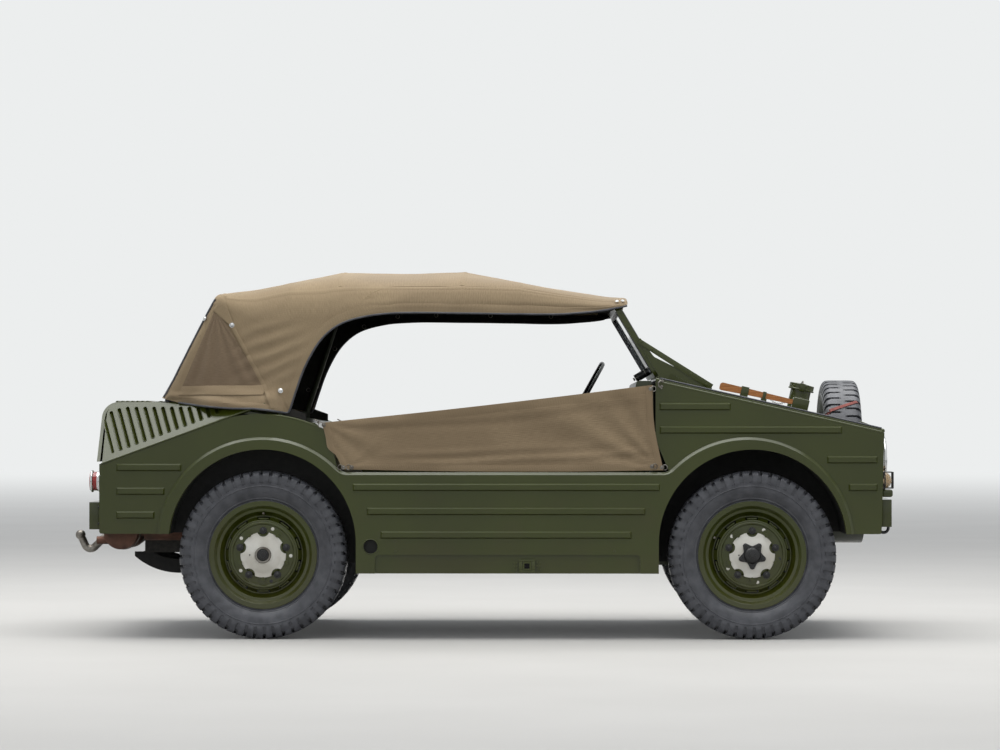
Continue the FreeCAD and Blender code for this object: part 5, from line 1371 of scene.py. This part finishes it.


# louvred rear quarters: a blade in every slot, a rolled lip round it, and behind them a black plate that is painted
# shade, standing in for the dark inside the slots

louvre = {"origin": (-1.562, -0.780, 0.737), "seam": math.radians(20.4), "lean": math.radians(40.3), "rise": 0.260,
          "slots": 14, "first": 0.062, "firstHigh": 0.236, "pitch": 0.0363, "half": 0.0075, "low": 0.034, "top": 0.262,
          "lip": 0.0017, "round": 0.0087, "lift": 0.0002, "bladeOut": -0.0035, "bladeIn": -0.017,
          "over": (0.004, 0.007), "baffle": [(0.045, 0.026), (0.640, 0.026), (0.125, 0.262)], "baffleDeep": -0.026}


def onLouvre(u, v, out, side):
    seam, lean = louvre["seam"], louvre["lean"]
    along = Vector((math.cos(seam), 0, math.sin(seam)))
    upward = Vector((-math.sin(seam) * math.cos(lean), math.sin(lean), math.cos(seam) * math.cos(lean)))
    point = Vector(louvre["origin"]) + along * u + upward * v + along.cross(upward) * out
    point.y *= -side
    return point


for side, label in bothSides:
    lips, blades = [], []
    low, half, bulge = louvre["low"], louvre["half"], louvre["round"]
    for number in range(louvre["slots"]):
        middle = louvre["first"] + number * louvre["pitch"]
        edge = louvre["rise"] - math.sin(louvre["seam"]) * middle
        edge /= math.cos(louvre["seam"]) * math.cos(louvre["lean"])
        high = min(edge - 0.8 * low, louvre["top"])
        rim = [onLouvre(middle + way * bulge * math.cos(turn), end + way * bulge * math.sin(turn), louvre["lift"], side)
               for way, end in ((1, high - half), (-1, low + half)) for turn in spread(0, math.pi, 8)]
        if number:
            lips.append(makeTube(rim, louvre["lip"], close=True, sides=2))
        else:
            high = louvre["firstHigh"]
        down, up = low - louvre["over"][0], high + louvre["over"][1]
        outer, inner = (middle - half - 0.002, louvre["bladeOut"]), (middle + half - 0.001, louvre["bladeIn"])
        corners = [(outer, down), (inner, down), (inner, up), (outer, up)]
        blades.append(slab([onLouvre(u, v, out, side) for (u, out), v in corners], 0.0012, (0, side, 0)))
    fitUp(lips, "louvre_lips_" + label, "armyGreen")
    fitUp(blades, "louvre_blades_" + label, "armyGreen")
    # the black plate behind the slots is painted shade
    baffle = [onLouvre(u, v, louvre["baffleDeep"], side) for u, v in louvre["baffle"]]
    fitUp([slab(baffle, 0.002, (0, -side, 0))], "louvre_baffle_" + label, "underseal")


# rolled edges and seam beads that catch the light along the top of each side

bead = {"y": 0.774, "front": (0.792, 1.722), "rear": (-0.862, -0.647), "sunk": 0.0040, "seamX": (-1.560, -0.868),
        "seamY": 0.7805, "seamZ": (0.738, 0.992), "seal": (-0.006, 0.0135)}


def topOfSide(x, side):
    panel = cad["side_panel_right" if side < 0 else "side_panel_left"]
    found, place, normal, face = panel.ray_cast(Vector((x, side * bead["y"], 1.4)), Vector((0, 0, -1)))
    return place


for side, label in bothSides:
    front = [topOfSide(x, side) for x in spread(*bead["front"], 30)]
    rear = [topOfSide(x, side) for x in spread(*bead["rear"], 20)]
    seam = zip(spread(*bead["seamX"], 30), spread(*bead["seamZ"], 30))
    runs = [makeTube([place + Vector((0, side * 0.0012, -bead["sunk"])) for place in front], 0.0062),
            makeTube([place + Vector((0, side * 0.0018, -bead["sunk"])) for place in rear], 0.0058),
            makeTube([(x, side * bead["seamY"], z) for x, z in seam], 0.0042)]
    fitUp(runs, "edge_beads_" + label, "armyGreen")
    inward, upward = bead["seal"]
    seal = makeTube([place + Vector((0, side * inward, upward)) for place in front], 0.0034, sides=3)
    fitUp([seal], "hood_seal_" + label, "rubber")

# sill: jack socket plate with its welds, rivets, access hole, drain clips; black discs deep in the access hole and in
# the jack socket are painted shade

sill = {"face": 0.800, "plateOut": 0.803,
        "bars": [((0.199, 0.267), (0.3290, 0.3375)), ((0.199, 0.267), (0.2830, 0.2910)),
                 ((0.199, 0.214), (0.2912, 0.3288)), ((0.252, 0.267), (0.2912, 0.3288))],
        "rivetX": (0.178, 0.189, 0.277, 0.288), "rivetZ": (0.296, 0.310, 0.324), "rivet": 0.0042,
        "clips": [(-0.320, 0.415), (-0.320, 0.371), (-0.395, 0.3725), (0.600, 0.3725)], "clip": 0.0046,
        "hole": (-0.424, 0.391), "holeRadius": 0.0312, "plugRadius": 0.0298}
for side, label in bothSides:
    root = side * (sill["face"] - 0.001)
    parts = [span(x, (side * sill["face"], side * sill["plateOut"]), z) for x, z in sill["bars"]]
    parts += [pin("y", (x, root, z), side * (sill["face"] + 0.0018), sill["rivet"], 12, 0.0008)
              for x in sill["rivetX"] for z in sill["rivetZ"]]
    parts += [pin("y", (x, root, z), side * (sill["face"] + 0.0022), sill["clip"]) for x, z in sill["clips"]]
    x, z = sill["hole"]
    parts.append(ring((x, side * 0.8005, z), (0, side, 0), sill["holeRadius"], 0.0018))
    fitUp(parts, "sill_fittings_" + label, "armyGreen")
    # black disc down in the access hole and black square in the jack socket: painted shade
    dark = [pin("y", (x, side * 0.7760, z), side * 0.7800, sill["plugRadius"], 36, 0),
            span((0.2225, 0.2435), (side * 0.785, side * 0.789), (0.2995, 0.3205), 0)]
    fitUp(dark, "sill_plugs_" + label, "underseal")

# closed ends of both bumpers, irons' bolts with their washers

bumpers = [("front", 1.7242, 1.7700, 0.472, 0.587, 0.42), ("rear", -1.5745, -1.6200, 0.460, 0.575, 0.60)]
for name, inner, outer, low, high, boltY in bumpers:
    way = math.copysign(1, outer)
    parts = [span((inner, outer), (side * 0.6975, side * 0.7015), (low, high), 0.0018) for side in (-1, 1)]
    for y, z in ((y, z) for y in (-boltY, boltY) for z in (low + 0.040, low + 0.076)):
        parts.append(pin("x", (outer - way * 0.001, y, z), outer + way * 0.0045, 0.0095, 6, 0.0014))
        parts.append(pin("x", (outer - way * 0.001, y, z), outer + way * 0.0012, 0.0135, 20, 0.0004))
    fitUp(parts, name + "_bumper_ends", "armyGreen")

# lamps: rims, lenses, guards, brackets

headlamp = {"y": 0.540, "z": 0.751, "rimX": 1.7480, "rim": (0.0965, 0.0085), "lensX": 1.7435,
            "lens": (0.0905, 0.0215), "screwZ": 0.6465}
marker = {"y": 0.690, "z": 0.668, "guardX": (1.7340, 1.7740), "half": 0.038, "rows": (0.636, 0.703), "wire": 0.0022,
          "rootX": 1.7310, "rimX": 1.7400, "rim": (0.0395, 0.0028), "lensX": 1.7430, "lens": (0.0365, 0.0270)}
tail = {"y": 0.705, "z": 0.664, "backX": -1.5735, "back": (0.0425, 0.0050), "body": (-1.5700, -1.5840, 0.0418),
        "rimX": -1.6060, "rim": (0.0422, 0.0053), "lensX": -1.6120, "lens": (0.0375, 0.0055)}
forward = (1, 0, 0)
rims, lenses = [], []
for y in (-headlamp["y"], headlamp["y"]):
    rims.append(ring((headlamp["rimX"], y, headlamp["z"]), forward, *headlamp["rim"], 64, 14))
    rims.append(pin("x", (1.7500, y, headlamp["screwZ"]), 1.7560, 0.004, 12))
    lenses.append(domeCap((headlamp["lensX"], y, headlamp["z"]), forward, *headlamp["lens"], 64, 9))
fitUp(rims, "headlamp_rims", "chrome")
fitUp(lenses, "headlamp_lenses", "clearLens")
guards, lenses, brackets = [], [], []
for y in (-marker["y"], marker["y"]):
    (low, high), half, (near, far) = marker["rows"], marker["half"], marker["guardX"]
    for x in (near, far):
        loop = [(x, y - half, low), (x, y + half, low), (x, y + half, high), (x, y - half, high)]
        guards.append(makeTube(loop, marker["wire"], close=True, sides=3))
    for corner, z in ((corner, z) for corner in (y - half, y + half) for z in (low, high)):
        guards.append(pin("x", (marker["rootX"], corner, z), far, marker["wire"], 10, 0))
    guards.append(pin("z", (far, y, low), high, 0.0020, 10, 0))
    guards.append(ring((marker["rimX"], y, marker["z"]), forward, *marker["rim"], 40, 8))
    lenses.append(domeCap((marker["lensX"], y, marker["z"]), forward, *marker["lens"], 36, 9))
    brackets.append(span((1.7250, far), (y - 0.030, y + 0.030), (0.598, 0.630), 0.010, 4))
fitUp(guards, "marker_guards", "blackEnamel")
fitUp(lenses, "marker_lenses", "amberLens")
fitUp(brackets, "marker_brackets", "armyGreen")
rims, lenses = [], []
for y in (-tail["y"], tail["y"]):
    start, end, radius = tail["body"]
    rims.append(ring((tail["backX"], y, tail["z"]), forward, *tail["back"], 44, 10))
    rims.append(pin("x", (start, y, tail["z"]), end, radius, 44))
    rims.append(ring((tail["rimX"], y, tail["z"]), forward, *tail["rim"], 44, 10))
    lenses.append(domeCap((tail["lensX"], y, tail["z"]), (-1, 0, 0), *tail["lens"], 40, 6))
fitUp(rims, "tail_lamp_rims", "chrome")
fitUp(lenses, "tail_lamp_lenses", "redLens")
print("lamps, beads, louvres and sill made")


# things on the hood, drawn upright about their own place and tipped with it

hood = {"rearX": 0.773, "rearZ": 1.1010, "fall": 0.2250, "filler": (1.392, -0.330), "axe": (1.046, -0.560),
        "middle": (0.780, 0.0)}


def onHood(pieces, place):
    x, y = hood[place]
    top = hood["rearZ"] - hood["fall"] * (x - hood["rearX"])
    for piece in pieces:
        piece.matrix_world = Matrix.Translation((x, y, top)) @ Matrix.Rotation(math.atan(hood["fall"]), 4, "Y")
        settle(piece)
    return pieces


upright = (0, 0, 1)
parts = [ring((0, 0, 0.094), upright, 0.0525, 0.0035), ring((0, 0, 0.114), upright, 0.0500, 0.0035),
         domeCap((0, 0, 0.1155), upright, 0.0485, 0.006), ring((0, 0, 0.006), upright, 0.0465, 0.0055),
         block((-0.012, -0.060, 0.086), (0.012, -0.050, 0.120)), block((-0.009, 0.050, 0.060), (0.009, 0.0585, 0.122)),
         pin("x", (-0.012, 0.0545, 0.070), 0.012, 0.0045, 12, 0)]
for angle in (math.radians(60 * step + 30) for step in range(6)):
    parts.append(pin("z", (0.056 * math.cos(angle), 0.056 * math.sin(angle), 0.0), 0.006, 0.005, 6))
fitUp(onHood(parts, "filler"), "filler_fittings", "armyGreen")
wire = [(0.0, -0.058, 0.112), (0.0, -0.040, 0.1275), (0.0, 0.0, 0.1310), (0.0, 0.040, 0.1275), (0.0, 0.056, 0.112)]
fitUp(onHood([makeTube(wire, 0.0024, sides=3)], "filler"), "filler_bail", "bareSteel")

# two clamps over the axe haft, each a bridge on two feet with a bolt in each foot, and the socket over its head
clamps = [(0.092, 0.124, 0.0495), (0.186, 0.200, 0.0465)]
parts = []
for x0, x1, top in clamps:
    parts.append(block((x0, -0.0190, top - 0.0030), (x1, 0.0190, top), 0.001))
    parts += [block((x0, y, 0.0005), (x1, y + 0.0028, top - 0.0010), 0.001) for y in (-0.0190, 0.0162)]
    for y in (-0.030, 0.020):
        parts.append(block((x0, y, 0.0002), (x1, y + 0.010, 0.0028), 0.0008))
        parts.append(pin("z", ((x0 + x1) / 2, y + 0.005, 0.002), 0.0062, 0.0038, 6, 0.0008))
parts.append(block((0.316, -0.0215, 0.0040), (0.386, 0.0215, 0.0525), 0.004, 3))
parts.append(pin("z", (0.345, 0.0, 0.0520), 0.0570, 0.010, 6, 0.0015))
fitUp(onHood(parts, "axe"), "axe_clamps", "armyGreen")
links = []
for number, share in enumerate(spread(0, 1, 21)):
    place = (0.205 + 0.105 * share, 0.030 + 0.110 * share, 0.040 - 0.030 * math.sin(math.pi * share))
    links.append(ring(place, (0, 1, 0) if number % 2 else upright, 0.0034, 0.0009, 12, 6))
fitUp(onHood(links, "axe"), "keeper_chain", "bareSteel")

# hood: stiffening swages, rear hinges, front catches
swage = ((0.10, 0.0010), (0.14, 0.0020), (0.52, 0.0020), (0.56, 0.0010))
catch = ((0.945, -0.012, 0.005), (0.900, -0.012, 0.012), (0.892, 0.0, 0.013), (0.900, 0.012, 0.012),
         (0.945, 0.012, 0.005))
parts = [makeTube([(x, y, z) for x, z in swage], 0.0080) for y in (-0.16, 0.16)]
for y in (-0.60, -0.20, 0.20, 0.60):
    parts.append(pin("y", (0.020, y - 0.030, 0.006), y + 0.030, 0.006))
    parts.append(block((0.020, y - 0.026, 0.0002), (0.062, y + 0.026, 0.0030), 0.001))
for y in (-0.50, 0.50):
    parts.append(block((0.885, y - 0.016, 0.0002), (0.940, y + 0.016, 0.0040), 0.0012))
    parts.append(makeTube([(x, y + dy, z) for x, dy, z in catch], 0.0026, sides=3))
fitUp(onHood(parts, "middle"), "hood_fittings", "armyGreen")

# spare: faded strap drawn tight round tread and well; the path is found on the tyre and bridges its gaps

strapCut = {"steps": 48, "startX": 1.5185, "drift": 0.160, "wide": -0.0058, "axleZ": 0.7425, "start": 35.4,
            "sweep": 11.4, "wideTurn": 2.1, "from": 0.45, "least": 0.325, "lift": 0.0012, "reach": 4}
spareTyre = bpy.data.objects["spare_tread_tyre"]
bpy.context.view_layer.update()
heights = []
for share in spread(0, 1, strapCut["steps"]):
    x = strapCut["startX"] + strapCut["drift"] * share
    angle = math.radians(strapCut["start"] + strapCut["sweep"] * share)
    out = Vector((0, -math.cos(angle), math.sin(angle)))
    far = Vector((x, 0, strapCut["axleZ"])) + out * strapCut["from"]
    found, place, normal, face = spareTyre.ray_cast(far, -out)
    heights.append(strapCut["from"] - (far - place).length if found else 0.0)
reach = strapCut["reach"]
bridged = [max(heights[number - reach:number + reach + 1]) if reach < number < len(heights) - reach - 1 else height
           for number, height in enumerate(heights)]


def strapPlace(u, v):
    number = min(strapCut["steps"], max(0, round(v * strapCut["steps"])))
    angle = math.radians(strapCut["start"] + strapCut["sweep"] * v + strapCut["wideTurn"] * u)
    radius = max(bridged[number], strapCut["least"]) + strapCut["lift"]
    return Vector((strapCut["startX"] + strapCut["drift"] * v + strapCut["wide"] * u, -radius * math.cos(angle),
                   strapCut["axleZ"] + radius * math.sin(angle)))


strap = makeSheet("spare_strap", 4, strapCut["steps"], strapPlace,
                  lambda centre: Vector((0, centre.y, centre.z - strapCut["axleZ"])), None, (0.02, 0.3))
fitUp([sewSheet(strap, "webbing", 0.0022)], "spare_strap", "webbing")
print("hood fittings made")


# windscreen: rubber round the glass, clamps, hinges, braces

screen = {"foot": (0.785, 0, 1.1075), "lean": math.radians(30.7), "half": 0.6685, "low": 0.0315, "high": 0.3205,
          "corner": 0.022, "faces": (-0.0095, 0.0095), "rubber": 0.0062}


def onScreen(u, v, out):
    across, up = Vector((0, 1, 0)), Vector((-math.sin(screen["lean"]), 0, math.cos(screen["lean"])))
    return Vector(screen["foot"]) + across * u + up * v + across.cross(up) * out


def screenLoop(out):
    # round the glass, a quarter turn at each corner
    corner = screen["corner"]
    right, left = screen["half"] - corner, corner - screen["half"]
    top, bottom = screen["high"] - corner, screen["low"] + corner
    centres = ((right, top, 0), (left, top, 90), (left, bottom, 180), (right, bottom, 270))
    return [onScreen(u + corner * math.cos(turn), v + corner * math.sin(turn), out)
            for u, v, start in centres for turn in spread(math.radians(start), math.radians(start + 90), 6)]


gaskets = [makeTube(screenLoop(out), screen["rubber"], close=True, sides=3) for out in screen["faces"]]
fitUp(gaskets, "screen_gaskets", "rubber")
brace = {"y": 0.7062, "corners": [(0.6985, 1.2480), (0.7125, 1.2640), (1.0190, 1.0720), (1.0040, 1.0500)],
         "bolts": [(0.7140, 1.2535), (0.7580, 1.2210), (0.9220, 1.1170), (0.9880, 1.0730)], "clampV": (0.10, 0.24),
         "hingeY": (-0.62, -0.21, 0.21, 0.62)}
parts = []
for side in (-1, 1):
    parts.append(slab([(x, side * brace["y"], z) for x, z in brace["corners"]], 0.0030, (0, side, 0), 0.0008))
    parts += [pin("y", (x, side * 0.7060, z), side * 0.7135, 0.0062, 6) for x, z in brace["bolts"]]
    for place in (onScreen(side * 0.7005, v, 0.0) for v in brace["clampV"]):
        parts.append(pin("y", place, place.y + side * 0.0030, 0.0048, 14, 0.0008))
parts += [pin("y", (0.7990, y - 0.028, 1.1040), y + 0.028, 0.0065) for y in brace["hingeY"]]
fitUp(parts, "screen_braces", "armyGreen")

# hooks and studs that hold the side curtains, and the wiper motors' ends
doorHook = {"place": (0.7900, 0.7800, 1.0830),
            "bend": ((0.016, 0.004, 0.004), (0.004, 0.0055, 0.006), (-0.006, 0.006, -0.004), (-0.004, 0.0055, -0.018),
                     (0.010, 0.005, -0.030)),
            "studs": [(0.7990, 1.0640), (-0.6440, 0.9140)],
            "rear": ((-0.660, 0.7830, 0.9250), (-0.646, 0.7845, 0.9180), (-0.634, 0.7850, 0.9130))}
parts = []
for side in (-1, 1):
    x, y, z = doorHook["place"]
    parts.append(makeTube([(x + dx, side * (y + dy), z + dz) for dx, dy, dz in doorHook["bend"]], 0.0030, sides=3))
    parts.append(pin("y", (x + 0.012, side * y, z + 0.004), side * (y + 0.008), 0.0065, 6))
    parts += [pin("y", (x, side * 0.7790, z), side * 0.7850, 0.0055, 14, 0.0012) for x, z in doorHook["studs"]]
    parts.append(makeTube([(x, side * y, z) for x, y, z in doorHook["rear"]], 0.0026, sides=3))
fitUp(parts, "door_hooks", "bareSteel")
motorEnds = []
for y in (-0.330, 0.330):
    motorEnds.append(ring(onScreen(y, 0.038, -0.030), onScreen(0, 0, 1) - onScreen(0, 0, 0), 0.0172, 0.0016, 28, 8))
    motorEnds.append(rod(onScreen(y, 0.038, -0.066), onScreen(y, 0.038, -0.0735), 0.0070, 16, 0.0015))
fitUp(motorEnds, "wiper_motor_ends", "bareSteel")
print("windscreen fittings made")


# cabin: instrument panel, pedals, mats, wheel boss, knobs

dash = {"foot": (0.668, 0.930), "rise": (0.026, 0.156), "out": (-0.9865, 0, 0.1640), "up": (0.1640, 0, 0.9865),
        "dials": ((0.350, 1.010, 0.052, 11), (0.235, 1.018, 0.027, 5), (0.235, 0.962, 0.027, 5),
                  (0.465, 1.018, 0.027, 5)),
        "marks": (-130, 130), "needle": 2.0,
        "knobs": ((0.165, 1.030), (0.165, 0.985), (0.120, 1.030), (0.120, 0.985), (0.075, 1.008), (0.535, 1.015),
                  (0.535, 0.965)),
        "grab": ((-0.520, 1.020, 0.0), (-0.520, 1.020, 0.032), (-0.500, 1.022, 0.042), (-0.230, 1.022, 0.042),
                 (-0.210, 1.020, 0.032), (-0.210, 1.020, 0.0))}


def onDash(y, z, out=0.0):
    # a place on the dash face, which leans back as it rises
    (x, low), (back, rise) = dash["foot"], dash["rise"]
    return Vector((x + back * (z - low) / rise, y, z)) + Vector(dash["out"]) * out


def onDial(angle):
    return Vector(dash["up"]) * math.cos(angle) + Vector((0, -1, 0)) * math.sin(angle)


dashOut = Vector(dash["out"])
bezels, dials, marks = [], [], []
for y, z, radius, sweep in dash["dials"]:
    dials.append(rod(onDash(y, z), onDash(y, z, 0.003), radius, 40))
    bezels.append(ring(onDash(y, z, 0.004), dashOut, radius, 0.0032, 44, 8))
    for degrees in spread(*dash["marks"], sweep - 1):
        radial, face = onDial(math.radians(degrees)) * radius, onDash(y, z, 0.0034)
        marks.append(rod(face + radial * 0.74, face + radial * 0.90, 0.0010, 8))
    needle, face = onDial(dash["needle"]) * radius, onDash(y, z, 0.0044)
    marks.append(rod(face - needle * 0.15, face + needle * 0.7, 0.0012, 8, 0, 0.0004))
fitUp(bezels, "dash_bezels", "chrome")
fitUp(dials, "dash_dials", "bakelite")
fitUp(marks, "dash_marks", "drumCream")
knobs = []
for y, z in dash["knobs"]:
    knobs.append(rod(onDash(y, z), onDash(y, z, 0.018), 0.0042, 14))
    knobs.append(rod(onDash(y, z, 0.016), onDash(y, z, 0.027), 0.0095, 20, 0.0022))
knobs.append(rod((0.4885, 0.350, 0.9975), (0.4790, 0.350, 1.0030), 0.0230, 36, 0.003))
fitUp(knobs, "dash_knobs", "bakelite")
grab = [makeTube([onDash(*place) for place in dash["grab"]], 0.0085)]
grab += [rod(onDash(y, 1.020), onDash(y, 1.020, 0.004), 0.018, 24, 0.001) for y in (-0.520, -0.210)]
fitUp(grab, "grab_handle", "blackEnamel")
glove = [block((0.6640, -0.500, 0.9350), (0.6700, -0.230, 0.9400), 0.001),
         rod(onDash(-0.365, 0.960), onDash(-0.365, 0.960, 0.010), 0.009, 20, 0.002)]
fitUp(glove, "parcel_edge", "armyGreenInner")

# each pedal: its Y, half its width, and how far back its pad reaches; five ribs cross the pad
pedal = {"plan": ((0.392, 0.030, 0.842), (0.306, 0.030, 0.842), (0.216, 0.024, 0.868)), "top": 0.520, "fall": 0.058,
         "back": 0.032, "ribs": 5}
arms, pads = [], []
for y, wide, reach in pedal["plan"]:
    top, back = pedal["top"], reach + pedal["back"]
    low = top - pedal["fall"]
    arms.append(makeTube([(0.985, y, 0.330), (0.930, y, 0.420), (reach + 0.016, y, 0.492)], 0.0065, sides=3))
    pads.append(slab([(reach, y - wide, top), (reach, y + wide, top), (back, y + wide, low), (back, y - wide, low)],
                     0.008, (-1, 0, 0), 0.0015))
    for step in range(pedal["ribs"]):
        share = (step + 0.5) / pedal["ribs"]
        x, z = reach + pedal["back"] * share - 0.0080, top - pedal["fall"] * share + 0.001
        pads.append(pin("y", (x, y - wide * 0.9, z), y + wide * 0.9, 0.0016, 8, 0))
fitUp(arms, "pedal_arms", "blackEnamel")
fitUp(pads, "pedal_pads", "rubber")

mat = {"low": 0.3163, "top": 0.3195, "ribLow": 0.3193, "ribTop": 0.3222, "ribEvery": 0.020, "ribHalf": 0.0035,
       "inset": 0.012,
       "plan": ((0.450, 0.745, 0.100, 0.500), (0.450, 0.745, -0.500, -0.100), (0.750, 0.940, 0.100, 0.330),
                (0.750, 0.940, -0.330, -0.100), (-0.225, -0.020, 0.100, 0.560), (-0.225, -0.020, -0.560, -0.100))}
mats = []
for x0, x1, y0, y1 in mat["plan"]:
    mats.append(block((x0, y0, mat["low"]), (x1, y1, mat["top"]), 0.001))
    count = int((y1 - y0) / mat["ribEvery"])
    for y in (y0 + (step + 0.5) * (y1 - y0) / count for step in range(count)):
        mats.append(block((x0 + mat["inset"], y - mat["ribHalf"], mat["ribLow"]),
                          (x1 - mat["inset"], y + mat["ribHalf"], mat["ribTop"]), 0.0008, 1))
fitUp(mats, "floor_mats", "matRubber")
gaiter = [rod((0.470, 0, 0.4365), (0.4655, 0, 0.4520), 0.034, 32, 0.003, 0.020),
          rod((0.468, 0, 0.4500), (0.4625, 0, 0.4640), 0.021, 32, 0.002, 0.011),
          rod((0.332, 0.045, 0.4365), (0.330, 0.045, 0.4440), 0.024, 28, 0.002, 0.014)]
fitUp(gaiter, "lever_gaiters", "rubber")
grip = [rod((0.186, 0.045, 0.5715), (0.112, 0.045, 0.6030), 0.0135, 24, 0.003),
        rod((0.1135, 0.045, 0.6024), (0.1060, 0.045, 0.6056), 0.0060, 16, 0.001)]
fitUp(grip, "brake_grip", "bakelite")
print("cabin made")


# engine lid: hinges, handle, pressed vents, plate with its lamp

parts = []
for y in (-0.380, 0.310):
    parts.append(pin("y", (-1.3345, y - 0.010, 0.9990), y + 0.080, 0.0046))
    parts.append(block((-1.3720, y - 0.006, 0.9988), (-1.3350, y + 0.076, 1.0018), 0.001))
    parts += [pin("z", (-1.3540, y + dy, 1.0010), 1.0045, 0.0050, 6, 0.0008) for dy in (0.008, 0.062)]
for bank in (-0.330, 0.330):
    for x in spread(-1.4000, -1.5290, 6):
        parts.append(pin("y", (x, bank - 0.150, 0.9985), bank + 0.150, 0.0072, 20, 0.003))
fitUp(parts, "lid_pressings", "armyGreen", "engine_lid_body")
handle = [pin("x", (-1.5800, 0.0, 0.7850), -1.5985, 0.0085, 20),
          pin("y", (-1.5985, -0.034, 0.7850), 0.034, 0.0062, 18, 0.002),
          pin("x", (-1.5795, 0.0, 0.7850), -1.5835, 0.0180, 28)]
fitUp(handle, "lid_handle", "bareSteel", "engine_lid_body")
fitUp([block((-1.5830, -0.170, 0.6020), (-1.5800, 0.170, 0.6820), 0.0012)], "rear_plate", "drumCream")
plateFrame = [block((-1.5800, -0.178, 0.5940), (-1.5758, 0.178, 0.6880), 0.0012)]
plateFrame += [pin("x", (-1.5830, y, 0.6420), -1.5850, 0.0045, 14, 0.0008) for y in (-0.150, 0.150)]
plateFrame.append(block((-1.6000, -0.042, 0.7000), (-1.5770, 0.042, 0.7180), 0.004, 3))
plateFrame += [pin("x", (-1.5740, y, z), -1.5785, 0.0055, 14) for y in (-0.735, 0.735) for z in (0.485, 0.555)]
fitUp(plateFrame, "rear_plate_frame", "blackEnamel")

# nose: blank plate on the bumper, seam round the pressed panel, its ribs and bolts, tow eyes
fitUp([block((1.7706, -0.240, 0.4870), (1.7730, 0.240, 0.5720), 0.001)], "front_plate", "drumCream")
fitUp([block((1.7698, -0.246, 0.4820), (1.7708, 0.246, 0.5770), 0.0004)], "front_plate_back", "blackEnamel")
nose = {"seam": [(-0.365, 0.612), (0.365, 0.612), (0.385, 0.632), (0.385, 0.812), (0.365, 0.832), (-0.365, 0.832),
                 (-0.385, 0.812), (-0.385, 0.632)], "ribs": (0.660, 0.788, 4), "ribHalf": 0.300}


def noseX(z):
    # the nose leans back as it falls
    return 1.7330 - 0.0270 * (0.8762 - z) / 0.4322 * 0.55


parts = [makeTube([(noseX(z) + 0.0015, y, z) for y, z in nose["seam"]], 0.0040, close=True, sides=3)]
for z in spread(*nose["ribs"]):
    parts.append(pin("y", (noseX(z) + 0.0005, -nose["ribHalf"], z), nose["ribHalf"], 0.0068, 18, 0.003))
for y, z in ((y, z) for y in (-0.350, 0.350) for z in (0.640, 0.805)):
    parts.append(pin("x", (noseX(z), y, z), noseX(z) + 0.0055, 0.0065, 6))
fitUp(parts, "nose_pressings", "armyGreen")
eyes = [ring((1.7480, y, 0.4640), (0, 1, 0), 0.0200, 0.0065, 32, 10) for y in (-0.560, 0.560)]
fitUp(eyes, "tow_eyes", "blackEnamel")
print("lid and nose fittings made")


# engine and exhaust: fan drum, cylinder fins, air cleaner, pipes, straps

fan = {"z": 0.8620, "drums": [(-1.345, -1.225, 0.0820, 48, 0.006), (-1.355, -1.345, 0.0440, 36, 0.003),
                              (-1.370, -1.352, 0.0260, 28, 0.002)], "hoops": (-1.335, -1.235, 8)}
engine = [pin("x", (start, 0.0, fan["z"]), end, *form) for start, end, *form in fan["drums"]]
engine.append(block((-1.330, -0.200, 0.798), (-1.130, 0.200, 0.822), 0.008))
engine += [ring((x, 0.0, fan["z"]), (1, 0, 0), 0.0825, 0.0022, 48, 6) for x in spread(*fan["hoops"])]
for side in (-1, 1):
    for x in spread(-1.330, -1.114, 9):
        engine.append(span((x, x + 0.005), (side * 0.328, side * 0.350), (0.430, 0.560), 0.001, 1))
fitUp(engine, "engine_shroud", "castMetal")
cleaner = [pin("z", (-1.115, -0.190, 0.802), 0.912, 0.0620, 44, 0.006),
           pin("z", (-1.115, -0.190, 0.912), 0.922, 0.0120, 6, 0.002),
           pin("z", (-1.115, 0.170, 0.802), 0.870, 0.0360, 36, 0.004),
           makeTube([(-1.115, -0.150, 0.860), (-1.115, 0.020, 0.872), (-1.115, 0.150, 0.850)], 0.0180, sides=5)]
fitUp(cleaner, "air_cleaner", "blackEnamel")
exhaust = {"z": 0.4420, "right": [(-1.420, -0.400), (-1.450, -0.400), (-1.470, -0.400)],
           "left": [(-1.420, 0.400), (-1.465, 0.380), (-1.480, 0.280), (-1.490, 0.060), (-1.500, -0.080)]}
pipes = []
for side in (-1, 1):
    pipes.append(pin("x", (-1.420, side * 0.400, exhaust["z"]), -1.230, 0.0380, 36, 0.010))
    bend = [(-1.240, 0.345, 0.480), (-1.240, 0.400, 0.470), (-1.260, 0.400, 0.445)]
    pipes.append(makeTube([(x, side * y, z) for x, y, z in bend], 0.0200))
for label, radius in (("right", 0.0180), ("left", 0.0170)):
    pipes.append(makeTube([(x, y, exhaust["z"]) for x, y in exhaust[label]], radius))
fitUp(pipes, "exhaust_pipes", "rustSteel")
straps = [ring((-1.5080, y, 0.4410), (0, 1, 0), 0.0735, 0.0028, 44, 6) for y in (-0.430, -0.180)]
fitUp(straps, "silencer_straps", "bareSteel")
print("engine fittings made")
